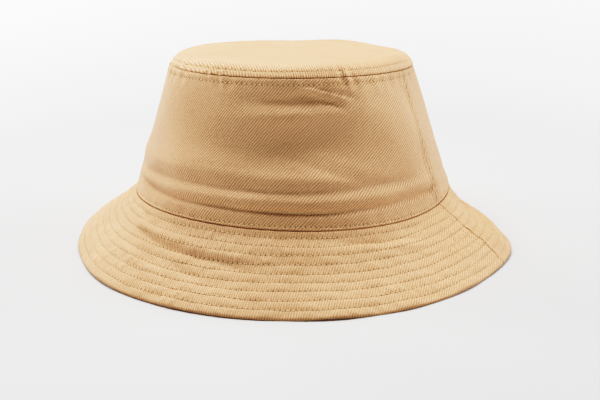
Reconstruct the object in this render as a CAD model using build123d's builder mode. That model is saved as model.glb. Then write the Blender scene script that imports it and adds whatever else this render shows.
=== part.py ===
from build123d import *
from dataclasses import dataclass
from math import hypot, sqrt
import os

os.makedirs("parts", exist_ok=True)

# A cut-and-sewn cotton bucket hat, in millimetres. +Z is up, the front faces -Y and the
# wearer's left is +X. The origin is under the middle of the hat, on the level that the
# edge of the brim rests on.

# Crown: a tapered oval wall closed by a low domed tip. Sizes are to the outside of the cloth.
CROWN_BASE_HALF_WIDTH = 90.9
CROWN_BASE_HALF_LENGTH = 99.0
CROWN_TIP_HALF_WIDTH = 67.1
CROWN_TIP_HALF_LENGTH = 80.8
CROWN_HEIGHT = 75.0
TIP_DOME_RISE = 5.5

# Brim: a sloping oval skirt, sewn to the crown along its inner edge.
BRIM_EDGE_HALF_WIDTH = 129.0
BRIM_EDGE_HALF_LENGTH = 132.5
BRIM_DROP = 33.3
BRIM_ROW_COUNT = 9
BRIM_FIRST_ROW_DROP = 2.1
BRIM_LAST_ROW_RISE = 3.6

# Cloth and trim thicknesses
TWILL = 0.6
INTERLINING = 0.5
TAPE = 0.4
SWEATBAND = 0.5
LABEL = 0.25

# Trim sizes
SWEATBAND_HEIGHT = 32.0
SWEATBAND_JOIN_GAP = 0.8
SEAM_TAPE_WIDTH = 9.0
MAIN_LABEL_WIDTH = 44.0
MAIN_LABEL_HEIGHT = 18.0
CARE_LABEL_WIDTH = 18.0
CARE_LABEL_LENGTH = 26.0
CARE_LABEL_DROP = 4.0

# Sewing thread and how far each row of it stands from its seam
THREAD_THICKNESS = 0.35
THREAD_WIDTH = 0.45
BASE_ROW_RISE = 2.0
TIP_ROW_DROP = 3.5
TIP_ROW_INSET = 3.0
SIDE_ROW_OFFSET = 2.0
LABEL_STITCH_INSET = 1.5

# Clearances between pieces that lie on each other, and at butted seams
LAY_GAP = 0.25
SEAM_GAP = 0.3
SWING_GAP = 0.3

FAR = 4 * (BRIM_EDGE_HALF_LENGTH + BRIM_EDGE_HALF_WIDTH)


@dataclass(frozen=True)
class OvalCone:
    """An oval cone between two levels, the surface that the outside of the cloth follows."""

    low_half_width: float
    low_half_length: float
    low: float
    high_half_width: float
    high_half_length: float
    high: float

    def outline(self, level, inset):
        """Half width and half length at a level, moved in by an inset square to the cloth."""
        rise = self.high - self.low
        share = (level - self.low) / rise
        halves = []
        for low_half, high_half in (
            (self.low_half_width, self.high_half_width),
            (self.low_half_length, self.high_half_length),
        ):
            run = high_half - low_half
            halves.append(low_half + share * run - inset * hypot(run, rise) / rise)
        return halves


tip_seam = BRIM_DROP + CROWN_HEIGHT
crown = OvalCone(
    CROWN_BASE_HALF_WIDTH, CROWN_BASE_HALF_LENGTH, BRIM_DROP,
    CROWN_TIP_HALF_WIDTH, CROWN_TIP_HALF_LENGTH, tip_seam,
)
brim = OvalCone(
    BRIM_EDGE_HALF_WIDTH, BRIM_EDGE_HALF_LENGTH, 0,
    CROWN_BASE_HALF_WIDTH, CROWN_BASE_HALF_LENGTH, BRIM_DROP,
)

# Depth of each layer below the outer surface of the cloth, as (outer face, inner face)
shell_layer = (0, TWILL)
needle_thread = (-LAY_GAP - THREAD_THICKNESS, -LAY_GAP)
interlining_layer = (TWILL + LAY_GAP, TWILL + LAY_GAP + INTERLINING)
under_layer = (interlining_layer[1] + LAY_GAP, interlining_layer[1] + LAY_GAP + TWILL)
tape_layer = (TWILL + LAY_GAP, TWILL + LAY_GAP + TAPE)
sweatband_layer = (TWILL + LAY_GAP, TWILL + LAY_GAP + SWEATBAND)
label_layer = (sweatband_layer[1] + LAY_GAP, sweatband_layer[1] + LAY_GAP + LABEL)


def thread_inside(layer):
    """Depths of a bobbin thread that lies on the inner face of a layer."""
    return layer[1] + LAY_GAP, layer[1] + LAY_GAP + THREAD_THICKNESS


def save(piece, name):
    """Label a finished piece and write it to its own file."""
    piece.part.label = name
    export_step(piece.part, f"parts/{name}.step")


def oval_wall(cone, bottom, top, layer):
    """A closed oval wall between two depths of a cone, cut level at its bottom and top."""
    with BuildPart() as wall:
        for depth, mode in zip(layer, (Mode.ADD, Mode.SUBTRACT)):
            for level in (bottom, top):
                with BuildSketch(Plane.XY.offset(level)):
                    Ellipse(*cone.outline(level, depth))
            loft(mode=mode)
    return wall


def half_wall(cone, bottom, top, layer, front):
    """The front or back half of an oval wall, from side seam to side seam."""
    whole = oval_wall(cone, bottom, top, layer)
    side = 1 if front else -1
    with BuildPart() as half:
        add(whole.part)
        split(bisect_by=Plane.XZ.offset(side * SEAM_GAP / 2), keep=Keep.TOP if front else Keep.BOTTOM)
    return half


def wall_patch(cone, bottom, top, layer, centre, width):
    """The piece of an oval wall of a given width that lies towards a point on +X, -X, +Y or -Y."""
    whole = oval_wall(cone, bottom, top, layer)
    size = (FAR, width) if centre[0] else (width, FAR)
    with BuildPart() as patch:
        add(whole.part)
        with Locations((centre[0] * FAR / 2, centre[1] * FAR / 2, (bottom + top) / 2)):
            Box(*size, FAR, mode=Mode.INTERSECT)
    return patch


def thread_ring(cone, level, layers):
    """One row of stitching right round a cone: a ring of thread at each given depth."""
    rings = [oval_wall(cone, level - THREAD_WIDTH / 2, level + THREAD_WIDTH / 2, layer) for layer in layers]
    with BuildPart() as row:
        for ring in rings:
            add(ring.part)
    return row


def dome_height(radius):
    """Height of the tip's outer face above the tip seam, at a radius on its short side."""
    ball = (CROWN_TIP_HALF_WIDTH**2 + TIP_DOME_RISE**2) / (2 * TIP_DOME_RISE)
    return sqrt(ball**2 - radius**2) - (ball - TIP_DOME_RISE)


# Tip of the crown: a domed oval, turned as a round cap and then lengthened to an oval
stretch = (1, CROWN_TIP_HALF_LENGTH / CROWN_TIP_HALF_WIDTH, 1)
with BuildPart() as crown_tip:
    with BuildSketch(Plane.XZ):
        with BuildLine():
            middle = CROWN_TIP_HALF_WIDTH / 2
            rim = (CROWN_TIP_HALF_WIDTH, tip_seam)
            rim_under = (CROWN_TIP_HALF_WIDTH, tip_seam - TWILL)
            peak = (0, tip_seam + TIP_DOME_RISE)
            peak_under = (0, tip_seam + TIP_DOME_RISE - TWILL)
            ThreePointArc(peak, (middle, tip_seam + dome_height(middle)), rim)
            Line(rim, rim_under)
            ThreePointArc(rim_under, (middle, tip_seam + dome_height(middle) - TWILL), peak_under)
            Line(peak_under, peak)
        make_face()
    revolve(axis=Axis.Z)
    scale(by=stretch)
save(crown_tip, "crown_tip")

# Stitching on the tip, just inside its seam: needle thread on top and bobbin thread beneath
row_radius = CROWN_TIP_HALF_WIDTH - TIP_ROW_INSET
row_height = tip_seam + dome_height(row_radius)
with BuildPart() as tip_topstitch_upper:
    with BuildSketch(Plane.XZ):
        for height in (row_height + LAY_GAP + THREAD_THICKNESS, row_height - TWILL - LAY_GAP):
            with Locations((row_radius, height)):
                Rectangle(THREAD_WIDTH, THREAD_THICKNESS, align=(Align.CENTER, Align.MAX))
    revolve(axis=Axis.Z)
    scale(by=stretch)
save(tip_topstitch_upper, "tip_topstitch_upper")

# Side panels of the crown and the three layers of the brim, each in a front and a back half
crown_top = tip_seam - TWILL - LAY_GAP
brim_top = BRIM_DROP - LAY_GAP
for end, front in (("front", True), ("back", False)):
    save(half_wall(crown, BRIM_DROP + LAY_GAP, crown_top, shell_layer, front), f"crown_side_{end}")
    save(half_wall(brim, 0, brim_top, shell_layer, front), f"brim_upper_{end}")
    save(half_wall(brim, TWILL, brim_top, interlining_layer, front), f"brim_interlining_{end}")
    save(half_wall(brim, 0, brim_top, under_layer, front), f"brim_under_{end}")

# Sweatband: a strip inside the foot of the crown, joined end to end at the centre back
sweatband_bottom = BRIM_DROP + LAY_GAP
sweatband_top = sweatband_bottom + SWEATBAND_HEIGHT
band = oval_wall(crown, sweatband_bottom, sweatband_top, sweatband_layer)
with BuildPart() as sweatband:
    add(band.part)
    with Locations((0, FAR / 2, BRIM_DROP)):
        Box(SWEATBAND_JOIN_GAP, FAR, FAR, mode=Mode.SUBTRACT)
save(sweatband, "sweatband")

# Two short rows of thread that close the sweatband's join, one on each side of it
join_stitch = wall_patch(
    crown, sweatband_top - CARE_LABEL_DROP, sweatband_top - 2 * LAY_GAP,
    thread_inside(sweatband_layer), (0, 1), SWEATBAND_JOIN_GAP + 4 * THREAD_WIDTH,
)
with BuildPart() as sweatband_join_stitch:
    add(join_stitch.part)
    with Locations((0, FAR / 2, BRIM_DROP)):
        Box(SWEATBAND_JOIN_GAP + 2 * THREAD_WIDTH, FAR, FAR, mode=Mode.SUBTRACT)
save(sweatband_join_stitch, "sweatband_join_stitch")

# Binding tape over the seams inside the crown
tip_tape_top = crown_top - LAY_GAP
tip_tape_bottom = tip_tape_top - SEAM_TAPE_WIDTH
tip_tape = oval_wall(crown, tip_tape_bottom, tip_tape_top, tape_layer)
with BuildPart() as tip_seam_tape:
    add(tip_tape.part)
    with Locations((0, FAR / 2, tip_seam)):
        Box(SEAM_GAP, FAR, FAR, mode=Mode.SUBTRACT)
save(tip_seam_tape, "tip_seam_tape")

for side, direction in (("left", 1), ("right", -1)):
    tape = wall_patch(
        crown, sweatband_top + LAY_GAP, tip_tape_bottom - LAY_GAP, tape_layer, (direction, 0), SEAM_TAPE_WIDTH
    )
    save(tape, f"side_seam_tape_{side}")

# Rows of stitching round the crown, above the brim seam and below the tip seam
base_row = thread_ring(crown, BRIM_DROP + BASE_ROW_RISE, (needle_thread, thread_inside(sweatband_layer)))
save(base_row, "crown_base_topstitch")
tip_row = thread_ring(crown, tip_seam - TIP_ROW_DROP, (needle_thread, thread_inside(tape_layer)))
save(tip_row, "tip_topstitch_lower")

# Two rows up each side seam of the crown, one on each side of it
side_row_bottom = BRIM_DROP + BASE_ROW_RISE + THREAD_WIDTH
side_row_top = tip_seam - TIP_ROW_DROP - THREAD_WIDTH
for side, direction in (("left", 1), ("right", -1)):
    pair = wall_patch(
        crown, side_row_bottom, side_row_top, needle_thread, (direction, 0), 2 * SIDE_ROW_OFFSET + THREAD_WIDTH
    )
    with BuildPart() as side_seam_topstitch:
        add(pair.part)
        with Locations((direction * FAR / 2, 0, tip_seam)):
            Box(FAR, 2 * SIDE_ROW_OFFSET - THREAD_WIDTH, FAR, mode=Mode.SUBTRACT)
    save(side_seam_topstitch, f"side_seam_topstitch_{side}")

# Concentric rows that quilt the brim: needle thread on top and bobbin thread beneath
row_step = (BRIM_DROP - BRIM_FIRST_ROW_DROP - BRIM_LAST_ROW_RISE) / (BRIM_ROW_COUNT - 1)
for number in range(BRIM_ROW_COUNT):
    level = BRIM_DROP - BRIM_FIRST_ROW_DROP - number * row_step
    save(thread_ring(brim, level, (needle_thread, thread_inside(under_layer))), f"brim_stitch_row_{number + 1}")

# Bare main label on the sweatband at the centre back, over its join, and the thread round it
label_top = sweatband_top - CARE_LABEL_DROP - LAY_GAP
label_bottom = label_top - MAIN_LABEL_HEIGHT
main_label = wall_patch(crown, label_bottom, label_top, label_layer, (0, 1), MAIN_LABEL_WIDTH)
save(main_label, "main_label")

outer_frame = (label_bottom + LABEL_STITCH_INSET, label_top - LABEL_STITCH_INSET)
frame_width = MAIN_LABEL_WIDTH - 2 * LABEL_STITCH_INSET
thread_sheet = wall_patch(crown, *outer_frame, thread_inside(label_layer), (0, 1), frame_width)
with BuildPart() as main_label_stitch:
    add(thread_sheet.part)
    with Locations((0, FAR / 2, (label_bottom + label_top) / 2)):
        Box(
            frame_width - 2 * THREAD_WIDTH, FAR, outer_frame[1] - outer_frame[0] - 2 * THREAD_WIDTH,
            mode=Mode.SUBTRACT,
        )
save(main_label_stitch, "main_label_stitch")

# Care label: a bare folded strip that hangs inside from a short row of thread near the top
# of the sweatband on the wearer's left, and swings about its sewn top edge
hinge_level = sweatband_top - CARE_LABEL_DROP
root_thread = thread_inside(sweatband_layer)
care_label_stitch = wall_patch(
    crown, hinge_level - THREAD_WIDTH / 2, hinge_level + THREAD_WIDTH / 2,
    root_thread, (1, 0), CARE_LABEL_WIDTH - 2 * THREAD_WIDTH,
)
save(care_label_stitch, "care_label_stitch")

thread_half_width, thread_half_length = crown.outline(hinge_level + THREAD_WIDTH / 2, root_thread[1])
corner_x = thread_half_width * sqrt(1 - (CARE_LABEL_WIDTH / 2 / thread_half_length) ** 2)
fold_thickness = 3 * LABEL
hinge_x = corner_x - SWING_GAP - fold_thickness / 2
with BuildPart() as care_label:
    with BuildSketch(Plane.XZ):
        with Locations((hinge_x, hinge_level)):
            Rectangle(fold_thickness, CARE_LABEL_LENGTH, align=(Align.CENTER, Align.MAX))
            Rectangle(LABEL, CARE_LABEL_LENGTH - LABEL, align=(Align.CENTER, Align.MAX), mode=Mode.SUBTRACT)
    extrude(amount=CARE_LABEL_WIDTH / 2, both=True)
save(care_label, "care_label")
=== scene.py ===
"""Looks of a sand-coloured cotton twill bucket hat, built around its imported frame."""
import logging
import math
from dataclasses import dataclass, field
from enum import Enum
from functools import reduce

import bmesh
import bpy
import numpy as np
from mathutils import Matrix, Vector


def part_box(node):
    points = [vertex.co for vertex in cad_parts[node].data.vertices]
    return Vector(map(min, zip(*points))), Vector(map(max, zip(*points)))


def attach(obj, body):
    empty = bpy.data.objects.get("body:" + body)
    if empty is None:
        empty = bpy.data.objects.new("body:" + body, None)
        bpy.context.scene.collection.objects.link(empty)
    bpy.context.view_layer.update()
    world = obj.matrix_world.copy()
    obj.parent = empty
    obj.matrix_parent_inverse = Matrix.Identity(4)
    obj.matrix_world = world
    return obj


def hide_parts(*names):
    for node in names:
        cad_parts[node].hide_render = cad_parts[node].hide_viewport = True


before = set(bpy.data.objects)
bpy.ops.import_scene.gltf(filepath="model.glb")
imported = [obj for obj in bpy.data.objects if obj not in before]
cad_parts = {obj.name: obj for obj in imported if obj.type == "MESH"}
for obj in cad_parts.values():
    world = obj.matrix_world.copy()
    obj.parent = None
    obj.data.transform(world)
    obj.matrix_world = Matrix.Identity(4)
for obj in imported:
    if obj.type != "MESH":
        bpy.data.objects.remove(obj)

LOG = logging.getLogger("bucket_hat")
MM = 0.001
HAT = "hat"
LABEL_BODY = "care_label"
FULL_TURN = 2 * math.pi
FRONT = -math.pi / 2
BACK = math.pi / 2
SIDE_SEAMS = {"left": 0.0, "right": math.pi}
ROW_LIFT = 0.02 * MM
TURN = np.linspace(0, FULL_TURN, 1440, endpoint=False)
Array = np.ndarray
Run = tuple[Array, Array]


# ---- small maths


def unit(vectors: Array) -> Array:
    """Scale vectors to length one along their last axis."""
    return vectors / np.maximum(np.linalg.norm(vectors, axis=-1, keepdims=True), 1e-12)


def bell(distance: Array, width: float) -> Array:
    """A smooth hump of height one round zero distance."""
    return np.exp(-((distance / width) ** 2))


def rounded(distance: Array, reach: float) -> Array:
    """A rise from 0 to 1 over a reach, round like the edge of folded cloth."""
    return np.sqrt(1 - (1 - np.clip(distance / reach, 0, 1)) ** 2)


def turn_gap(theta: Array, centre: float) -> Array:
    """Signed angle from a centre to theta, the short way round, in radians."""
    return (theta - centre + math.pi) % FULL_TURN - math.pi


def side_turn(theta: Array) -> Array:
    """Angle to the nearer side seam, in radians."""
    return np.minimum(*(np.abs(turn_gap(theta, centre)) for centre in SIDE_SEAMS.values()))


def arc_length(points: Array) -> Array:
    """Distance along a run of points from its start."""
    return np.concatenate([[0.0], np.cumsum(np.linalg.norm(np.diff(points, axis=0), axis=-1))])


def grid(thetas: Array, shares: Array) -> tuple[Array, Array]:
    """Spread two runs of numbers over a grid."""
    return np.meshgrid(thetas, shares, indexing="ij")


def crowded(start: float, end: float, count: int, spots: tuple, gain: float, width: float) -> Array:
    """Numbers from start to end that lie closer together near some spots.

    Args:
        start: first number.
        end: last number.
        count: how many numbers.
        spots: where they crowd.
        gain: how much closer they lie there.
        width: how wide a crowd is.

    Returns:
        The rising numbers.
    """
    fine = np.linspace(start, end, 6000)
    weight = 1 + gain * sum(bell(fine - spot, width) for spot in spots)
    total = np.concatenate([[0], np.cumsum((weight[1:] + weight[:-1]) / 2)])
    return np.interp(np.linspace(0, total[-1], count), total, fine)


def snapped(numbers: Array, spots: tuple) -> Array:
    """Move the number nearest to each spot onto it.

    Args:
        numbers: rising numbers.
        spots: the values that have to be among them.

    Returns:
        A copy with the values in place.
    """
    numbers = numbers.copy()
    for spot in spots:
        numbers[np.abs(numbers - spot).argmin()] = spot
    return numbers


@dataclass(frozen=True)
class Ripple:
    """Seeded smooth noise round the hat: a sum of waves that close up after a full turn.

    Attributes:
        seed: fixes the waves' sizes and phases.
        low: fewest waves round the hat.
        high: most waves round the hat.
        count: how many waves are added.
        lean: how far a wave leans over from one edge of the cloth to the other, in radians.
    """

    seed: int
    low: int
    high: int
    count: int
    lean: float

    def at(self, theta: Array, across: Array) -> Array:
        """Noise of about unit size.

        Args:
            theta: angles round the hat.
            across: places across the cloth, from 0 to 1.

        Returns:
            The noise at each place.
        """
        rng = np.random.default_rng(self.seed)
        total = np.zeros(np.broadcast(theta, across).shape)
        for _ in range(self.count):
            waves = rng.integers(self.low, self.high + 1)
            phase, lean, size = rng.uniform(0, FULL_TURN), rng.normal(0, self.lean), rng.uniform(0.4, 1)
            total = total + size * np.cos(waves * theta + lean * across + phase)
        return total / math.sqrt(self.count * 0.27)


@dataclass(frozen=True)
class Ridge:
    """A hump of cloth that runs along a seam or a row of stitches.

    Attributes:
        height: how far it stands up, in millimetres.
        place: its distance from the seam, in millimetres.
        width: half its width, in millimetres.
    """

    height: float
    place: float
    width: float

    def at(self, distance: Array) -> Array:
        """Its height at some distances from the seam, in metres."""
        return self.height * MM * bell(distance - self.place * MM, self.width * MM)


# ---- folds, dents and gathers


@dataclass(frozen=True)
class Dent:
    """A soft hollow or swelling in the crown's wall or the brim.

    Attributes:
        theta: angle of its middle, in degrees from the wearer's left.
        share: place of its middle across the cloth, from 0 at the brim seam to 1.
        half_turn: half its length round the hat, in degrees.
        half_share: half its width across the cloth.
        depth: how far it stands out, in millimetres; negative goes in.
        rise: how much further across its far end lies than its middle, as a share.
    """

    theta: float
    share: float
    half_turn: float
    half_share: float
    depth: float
    rise: float = 0.0

    def at(self, theta: Array, share: Array) -> Array:
        """How far the cloth stands out.

        Args:
            theta: angles round the hat.
            share: places across the cloth.

        Returns:
            Distances, in metres.
        """
        along = turn_gap(theta, math.radians(self.theta)) / math.radians(self.half_turn)
        across = (share - self.share - self.rise * along) / self.half_share
        return self.depth * MM * np.exp(-(along**2) - across**2)


@dataclass(frozen=True)
class Fold:
    """A long soft crease or ridge in the cloth, along a wandering line.

    Attributes:
        turns: angles along it, in degrees from the wearer's left.
        shares: its place across the cloth at each of those angles.
        half_share: half its width, as a share of the cloth's width.
        depth: how far it stands out, in millimetres; negative goes in.
        fade: length over which each end dies away, in degrees.
    """

    turns: tuple[float, ...]
    shares: tuple[float, ...]
    half_share: float
    depth: float
    fade: float = 12.0

    def at(self, theta: Array, share: Array) -> Array:
        """How far the cloth stands out.

        Args:
            theta: angles round the hat.
            share: places across the cloth.

        Returns:
            Distances, in metres.
        """
        middle = (self.turns[0] + self.turns[-1]) / 2
        turned = middle + np.degrees(turn_gap(theta, math.radians(middle)))
        across = (share - np.interp(turned, self.turns, self.shares)) / self.half_share
        start = np.clip((turned - self.turns[0]) / self.fade, 0, 1)
        end = np.clip((self.turns[-1] - turned) / self.fade, 0, 1)
        held = start * end
        return self.depth * MM * held * held * (3 - 2 * held) * np.exp(-(across**2))


@dataclass(frozen=True)
class Gather:
    """A short pleat where the tip's edge was eased into the crown's.

    Attributes:
        theta: its angle, in degrees from the wearer's left.
        width: half its width, in degrees.
        depth: how far it stands out, in millimetres; negative goes in.
        lean: how far it turns with each millimetre from the seam, in degrees.
        reach: how far from the seam it dies away, in millimetres.
    """

    theta: float
    width: float
    depth: float
    lean: float = 0.25
    reach: float = 5.5

    def at(self, theta: Array, distance: Array) -> Array:
        """Its height over the cloth.

        Args:
            theta: angles round the hat.
            distance: distances from the tip seam, negative on the tip.

        Returns:
            Heights, in metres.
        """
        turned = np.degrees(turn_gap(theta, math.radians(self.theta)))
        along = (turned - self.lean * distance / MM) / self.width
        return self.depth * MM * np.exp(-(along**2)) * bell(distance, self.reach * MM)


CROWN_DENTS = (
    Dent(296, 0.540, 27, 0.160, -6.0, 0.030),
    Dent(262, 0.420, 20, 0.070, 1.3, 0.010),
    Dent(222, 0.330, 16, 0.080, 1.4),
    Dent(245, 0.640, 20, 0.160, -0.9),
    Dent(296, 0.745, 20, 0.045, 1.6, 0.020),
    Dent(297, 0.845, 17, 0.040, -2.4),
    Dent(345, 0.300, 12, 0.070, -0.8, 0.050),
    Dent(216, 0.800, 26, 0.300, 1.3),
    Dent(22, 0.750, 26, 0.450, -1.0),
    Dent(105, 0.580, 25, 0.200, -2.4),
    Dent(160, 0.700, 20, 0.120, -1.2),
    Dent(340, 0.620, 20, 0.200, 1.0),
)

CROWN_FOLDS = (
    Fold((216, 240, 255, 270, 295, 308, 329, 342, 368),
         (.14, .125, .12, .12, .112, .113, .13, .135, .12), .021, -1.7),
    Fold((286, 296, 306, 315), (.122, .116, .117, .121), .0075, -0.75, 6),
    Fold((212, 240, 265, 283, 300, 320, 345, 368),
         (.175, .185, .190, .185, .185, .195, .205, .19), .028, 1.0),
    Fold((222, 240, 263, 283, 300, 318, 330, 352),
         (.23, .245, .255, .250, .250, .265, .275, .26), .026, -1.4),
    Fold((225, 250, 272, 300, 322), (.34, .345, .355, .335, .33), .040, 1.0, 16),
    Fold((290, 300, 315, 326, 336), (.50, .46, .35, .30, .28), .024, -0.55, 8),
    Fold((298, 308, 322, 334), (.54, .50, .40, .35), .026, 0.3, 8),
    Fold((296, 304, 313, 322), (.895, .885, .845, .79), .018, -1.2, 6),
    Fold((300, 308, 316, 325), (.925, .915, .880, .83), .016, 1.1, 6),
    Fold((306, 313, 320, 328), (.935, .920, .890, .85), .013, -0.9, 5),
    Fold((20, 45, 70, 100, 120), (.13, .12, .13, .12, .13), .024, -1.5),
    Fold((30, 60, 90, 118), (.19, .20, .19, .20), .030, 1.0),
    Fold((35, 62, 95, 125), (.27, .26, .27, .25), .028, -1.1),
    Fold((112, 140, 165, 190), (.15, .14, .15, .14), .024, -1.4),
    Fold((118, 145, 175, 205), (.22, .22, .21, .20), .030, 1.1),
    Fold((150, 172, 196), (.33, .30, .28), .028, -1.0),
)

# Each gather: angle, half width and height.
GATHERS = tuple(Gather(*row) for row in (
    (259.0, 0.9, -0.75), (261.3, 1.0, 0.70), (265.5, 0.9, -0.75), (267.6, 1.0, 0.60), (240.0, 1.2, 0.35),
    (243.5, 1.0, -0.35), (320.5, 0.9, -0.70), (323.0, 1.0, 0.75), (326.0, 0.9, -0.50), (300.0, 1.3, 0.25),
    (20.0, 1.1, -0.45), (48.0, 1.0, 0.45), (97.0, 1.0, -0.50), (100.0, 1.0, 0.50), (150.0, 1.0, -0.45),
    (196.0, 1.1, 0.40),
))

BRIM_BENDS = (
    Dent(280, 0.46, 48, 0.34, -3.4),
    Dent(190, 0.35, 26, 0.30, -1.6),
    Dent(34, 0.30, 26, 0.26, -5.0),
    Dent(29, 0.50, 20, 0.20, -2.0),
    Dent(12, 0.66, 18, 0.20, 1.0),
    Fold((232, 245, 262, 280, 300, 325, 350), (.10, .12, .11, .10, .10, .13, .10), .075, -1.1, 16),
    Fold((238, 250, 262, 274, 288), (.29, .33, .37, .41, .47), .050, -1.1, 10),
    Fold((234, 248, 262, 276, 290), (.21, .24, .28, .31, .36), .050, 0.9, 10),
    Fold((252, 262, 270, 282), (.48, .54, .62, .70), .050, -0.8, 9),
    Fold((236, 250, 262), (.50, .62, .72), .060, 0.7, 9),
    Fold((230, 236, 244), (.06, .09, .16), .035, -0.8, 5),
    Fold((310, 320, 332, 342), (.12, .17, .20, .26), .035, -0.8, 8),
    Fold((314, 324, 334, 344), (.20, .25, .30, .38), .035, 0.6, 8),
    Fold((60, 80, 105, 130), (.30, .36, .33, .40), .060, -1.2),
    Fold((140, 160, 180), (.55, .45, .40), .060, 0.9),
)

# Waves of the brim's edge: angle, half length and how far they draw in towards the crown.
BRIM_TUCKS = tuple(
    Dent(theta, 0.0, half_turn, 1.0, depth)
    for theta, half_turn, depth in (
        (42, 20, 14.0), (143, 19, 7.0), (218, 20, 2.0), (243, 22, -1.3), (322, 22, -1.5), (8, 12, -1.6),
    )
)


# ---- the hat's form


@dataclass
class HatForm:
    """The smooth surface that every piece of cloth and thread lies on, read from the frame.

    Attributes:
        seam_wave: how much the brim seam rises at the front and back and drops at the sides.
        tip_tilt: how much the tip seam stands higher at the front than at the sides.
        tip_lean: how much the tip seam stands higher on the wearer's left than at its middle.
        tip_drop: how much lower the tip seam lies than the CAD model's level seam.
        dome: rise of the tip's middle above its rounded rim.
        shoulder: rise of the tip over its rounded rim.
        shoulder_reach: how far in from the seam the rim is rounded.
        rim_curve: how full the rounded rim is.
        belly: how far the crown and the brim stand out midway between their seams.
        edge_lift: height of the brim's lower edge, which keeps its cloth off the ground.
        base: half width and half length of the seam between crown and brim.
        tip: the same of the tip seam.
        edge: the same of the brim's edge.
        seam_level: height of the seam between crown and brim.
        tip_level: height of the tip seam.
    """

    seam_wave: float = 3.1 * MM
    tip_tilt: float = 7.6 * MM
    tip_lean: float = 1.6 * MM
    tip_drop: float = 2.9 * MM
    dome: float = 0.3 * MM
    shoulder: float = 6.7 * MM
    shoulder_reach: float = 9.0 * MM
    rim_curve: float = 2.9
    belly: float = 0.5 * MM
    edge_lift: float = 0.45 * MM
    base: tuple[float, float] = field(init=False)
    tip: tuple[float, float] = field(init=False)
    edge: tuple[float, float] = field(init=False)
    seam_level: float = field(init=False)
    tip_level: float = field(init=False)

    def __post_init__(self) -> None:
        """Read the half widths, half lengths and levels from the CAD nodes."""
        low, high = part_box("crown_side_front")
        tip_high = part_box("crown_tip")[1]
        edge_low, edge_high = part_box("brim_upper_front")
        self.base = (high.x, -low.y)
        self.tip = (tip_high.x, tip_high.y)
        self.edge = (edge_high.x, -edge_low.y)
        self.seam_level = low.z
        self.tip_level = high.z - self.tip_drop

    def ring(self, halves: tuple[float, float], theta: Array, level: Array) -> Array:
        """Points of an oval ring at a level."""
        return np.stack([halves[0] * np.cos(theta), halves[1] * np.sin(theta), level + 0 * theta], -1)

    def seam_ring(self, theta: Array) -> Array:
        """The seam between crown and brim."""
        return self.ring(self.base, theta, self.seam_level - self.seam_wave * np.cos(2 * theta))

    def tip_ring(self, theta: Array) -> Array:
        """The seam between the crown's wall and its tip."""
        leaning = self.tip_lean * np.cos(theta) - self.tip_tilt * np.sin(theta)
        return self.ring(self.tip, theta, self.tip_level + leaning)

    def edge_ring(self, theta: Array) -> Array:
        """The outer edge of the brim, lying on its level.

        Args:
            theta: angles round the hat.

        Returns:
            Points of the edge.
        """
        wave = 0.35 * MM * (1 + 0.6 * Ripple(11, 2, 6, 6, 0).at(theta, 0 * theta))
        drawn = sum(tuck.at(theta, 0 * theta) for tuck in BRIM_TUCKS)
        flat = self.ring(self.edge, theta, np.maximum(wave, 0.15 * MM) + self.edge_lift)
        inwards = np.stack([np.cos(theta), np.sin(theta), 0 * theta], -1)
        return flat - inwards * drawn[..., None]

    def between(self, theta: Array, share: Array, far: Array, halves: tuple[float, float],
                swell: Array) -> Array:
        """Points on the way from the brim seam to another ring, raised off the straight line.

        Args:
            theta: angles round the hat.
            share: how far along they lie, from 0 at the seam to 1.
            far: points of the other ring.
            halves: half width and half length of the oval that gives the direction round the hat.
            swell: how far they are raised.

        Returns:
            The points.
        """
        low = self.seam_ring(theta)
        around = np.stack([-halves[0] * np.sin(theta), halves[1] * np.cos(theta), 0 * theta], -1)
        outward = unit(np.cross(around, far - low))
        return low + (far - low) * share[..., None] + outward * swell[..., None]

    def crown(self, theta: Array, share: Array) -> Array:
        """Outer face of the crown's wall.

        Args:
            theta: angles round the hat.
            share: places up the wall, from 0 at the brim seam to 1 at the tip seam.

        Returns:
            Points of the face.
        """
        swell = self.belly * np.sin(math.pi * np.clip(share, 0, 1))
        for bend in CROWN_DENTS + CROWN_FOLDS:
            swell = swell + bend.at(theta, share)
        held = np.clip(share / 0.08, 0, 1) * np.clip((1 - share) / 0.1, 0, 1)
        swell = swell + 0.55 * MM * held * Ripple(21, 2, 7, 10, 3).at(theta, share)
        swell = swell + 0.10 * MM * held * Ripple(22, 9, 22, 14, 9).at(theta, share)
        return self.between(theta, share, self.tip_ring(theta), self.base, swell)

    def brim(self, theta: Array, share: Array) -> Array:
        """Middle of the brim's layers.

        Args:
            theta: angles round the hat.
            share: places across the brim, from 0 at the seam to 1 at the edge.

        Returns:
            Points midway through the brim.
        """
        free = np.clip(share, 0, 1)
        swell = self.belly * np.sin(math.pi * free)
        swell = swell + 0.8 * MM * free * (1 - 0.9 * free) * 2 * Ripple(31, 3, 8, 8, 1.5).at(theta, share)
        swell = swell + 0.22 * MM * free * Ripple(32, 10, 26, 12, 3).at(theta, share)
        for bend in BRIM_BENDS:
            swell = swell + bend.at(theta, share)
        return self.between(theta, share, self.edge_ring(theta), self.edge, -swell)

    def rim(self, inward: Array | float) -> Array:
        """How far the rounded rim has risen at a distance in from the seam, as a share."""
        return 1 - np.clip(1 - inward / self.shoulder_reach, 0, 1) ** self.rim_curve

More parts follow.
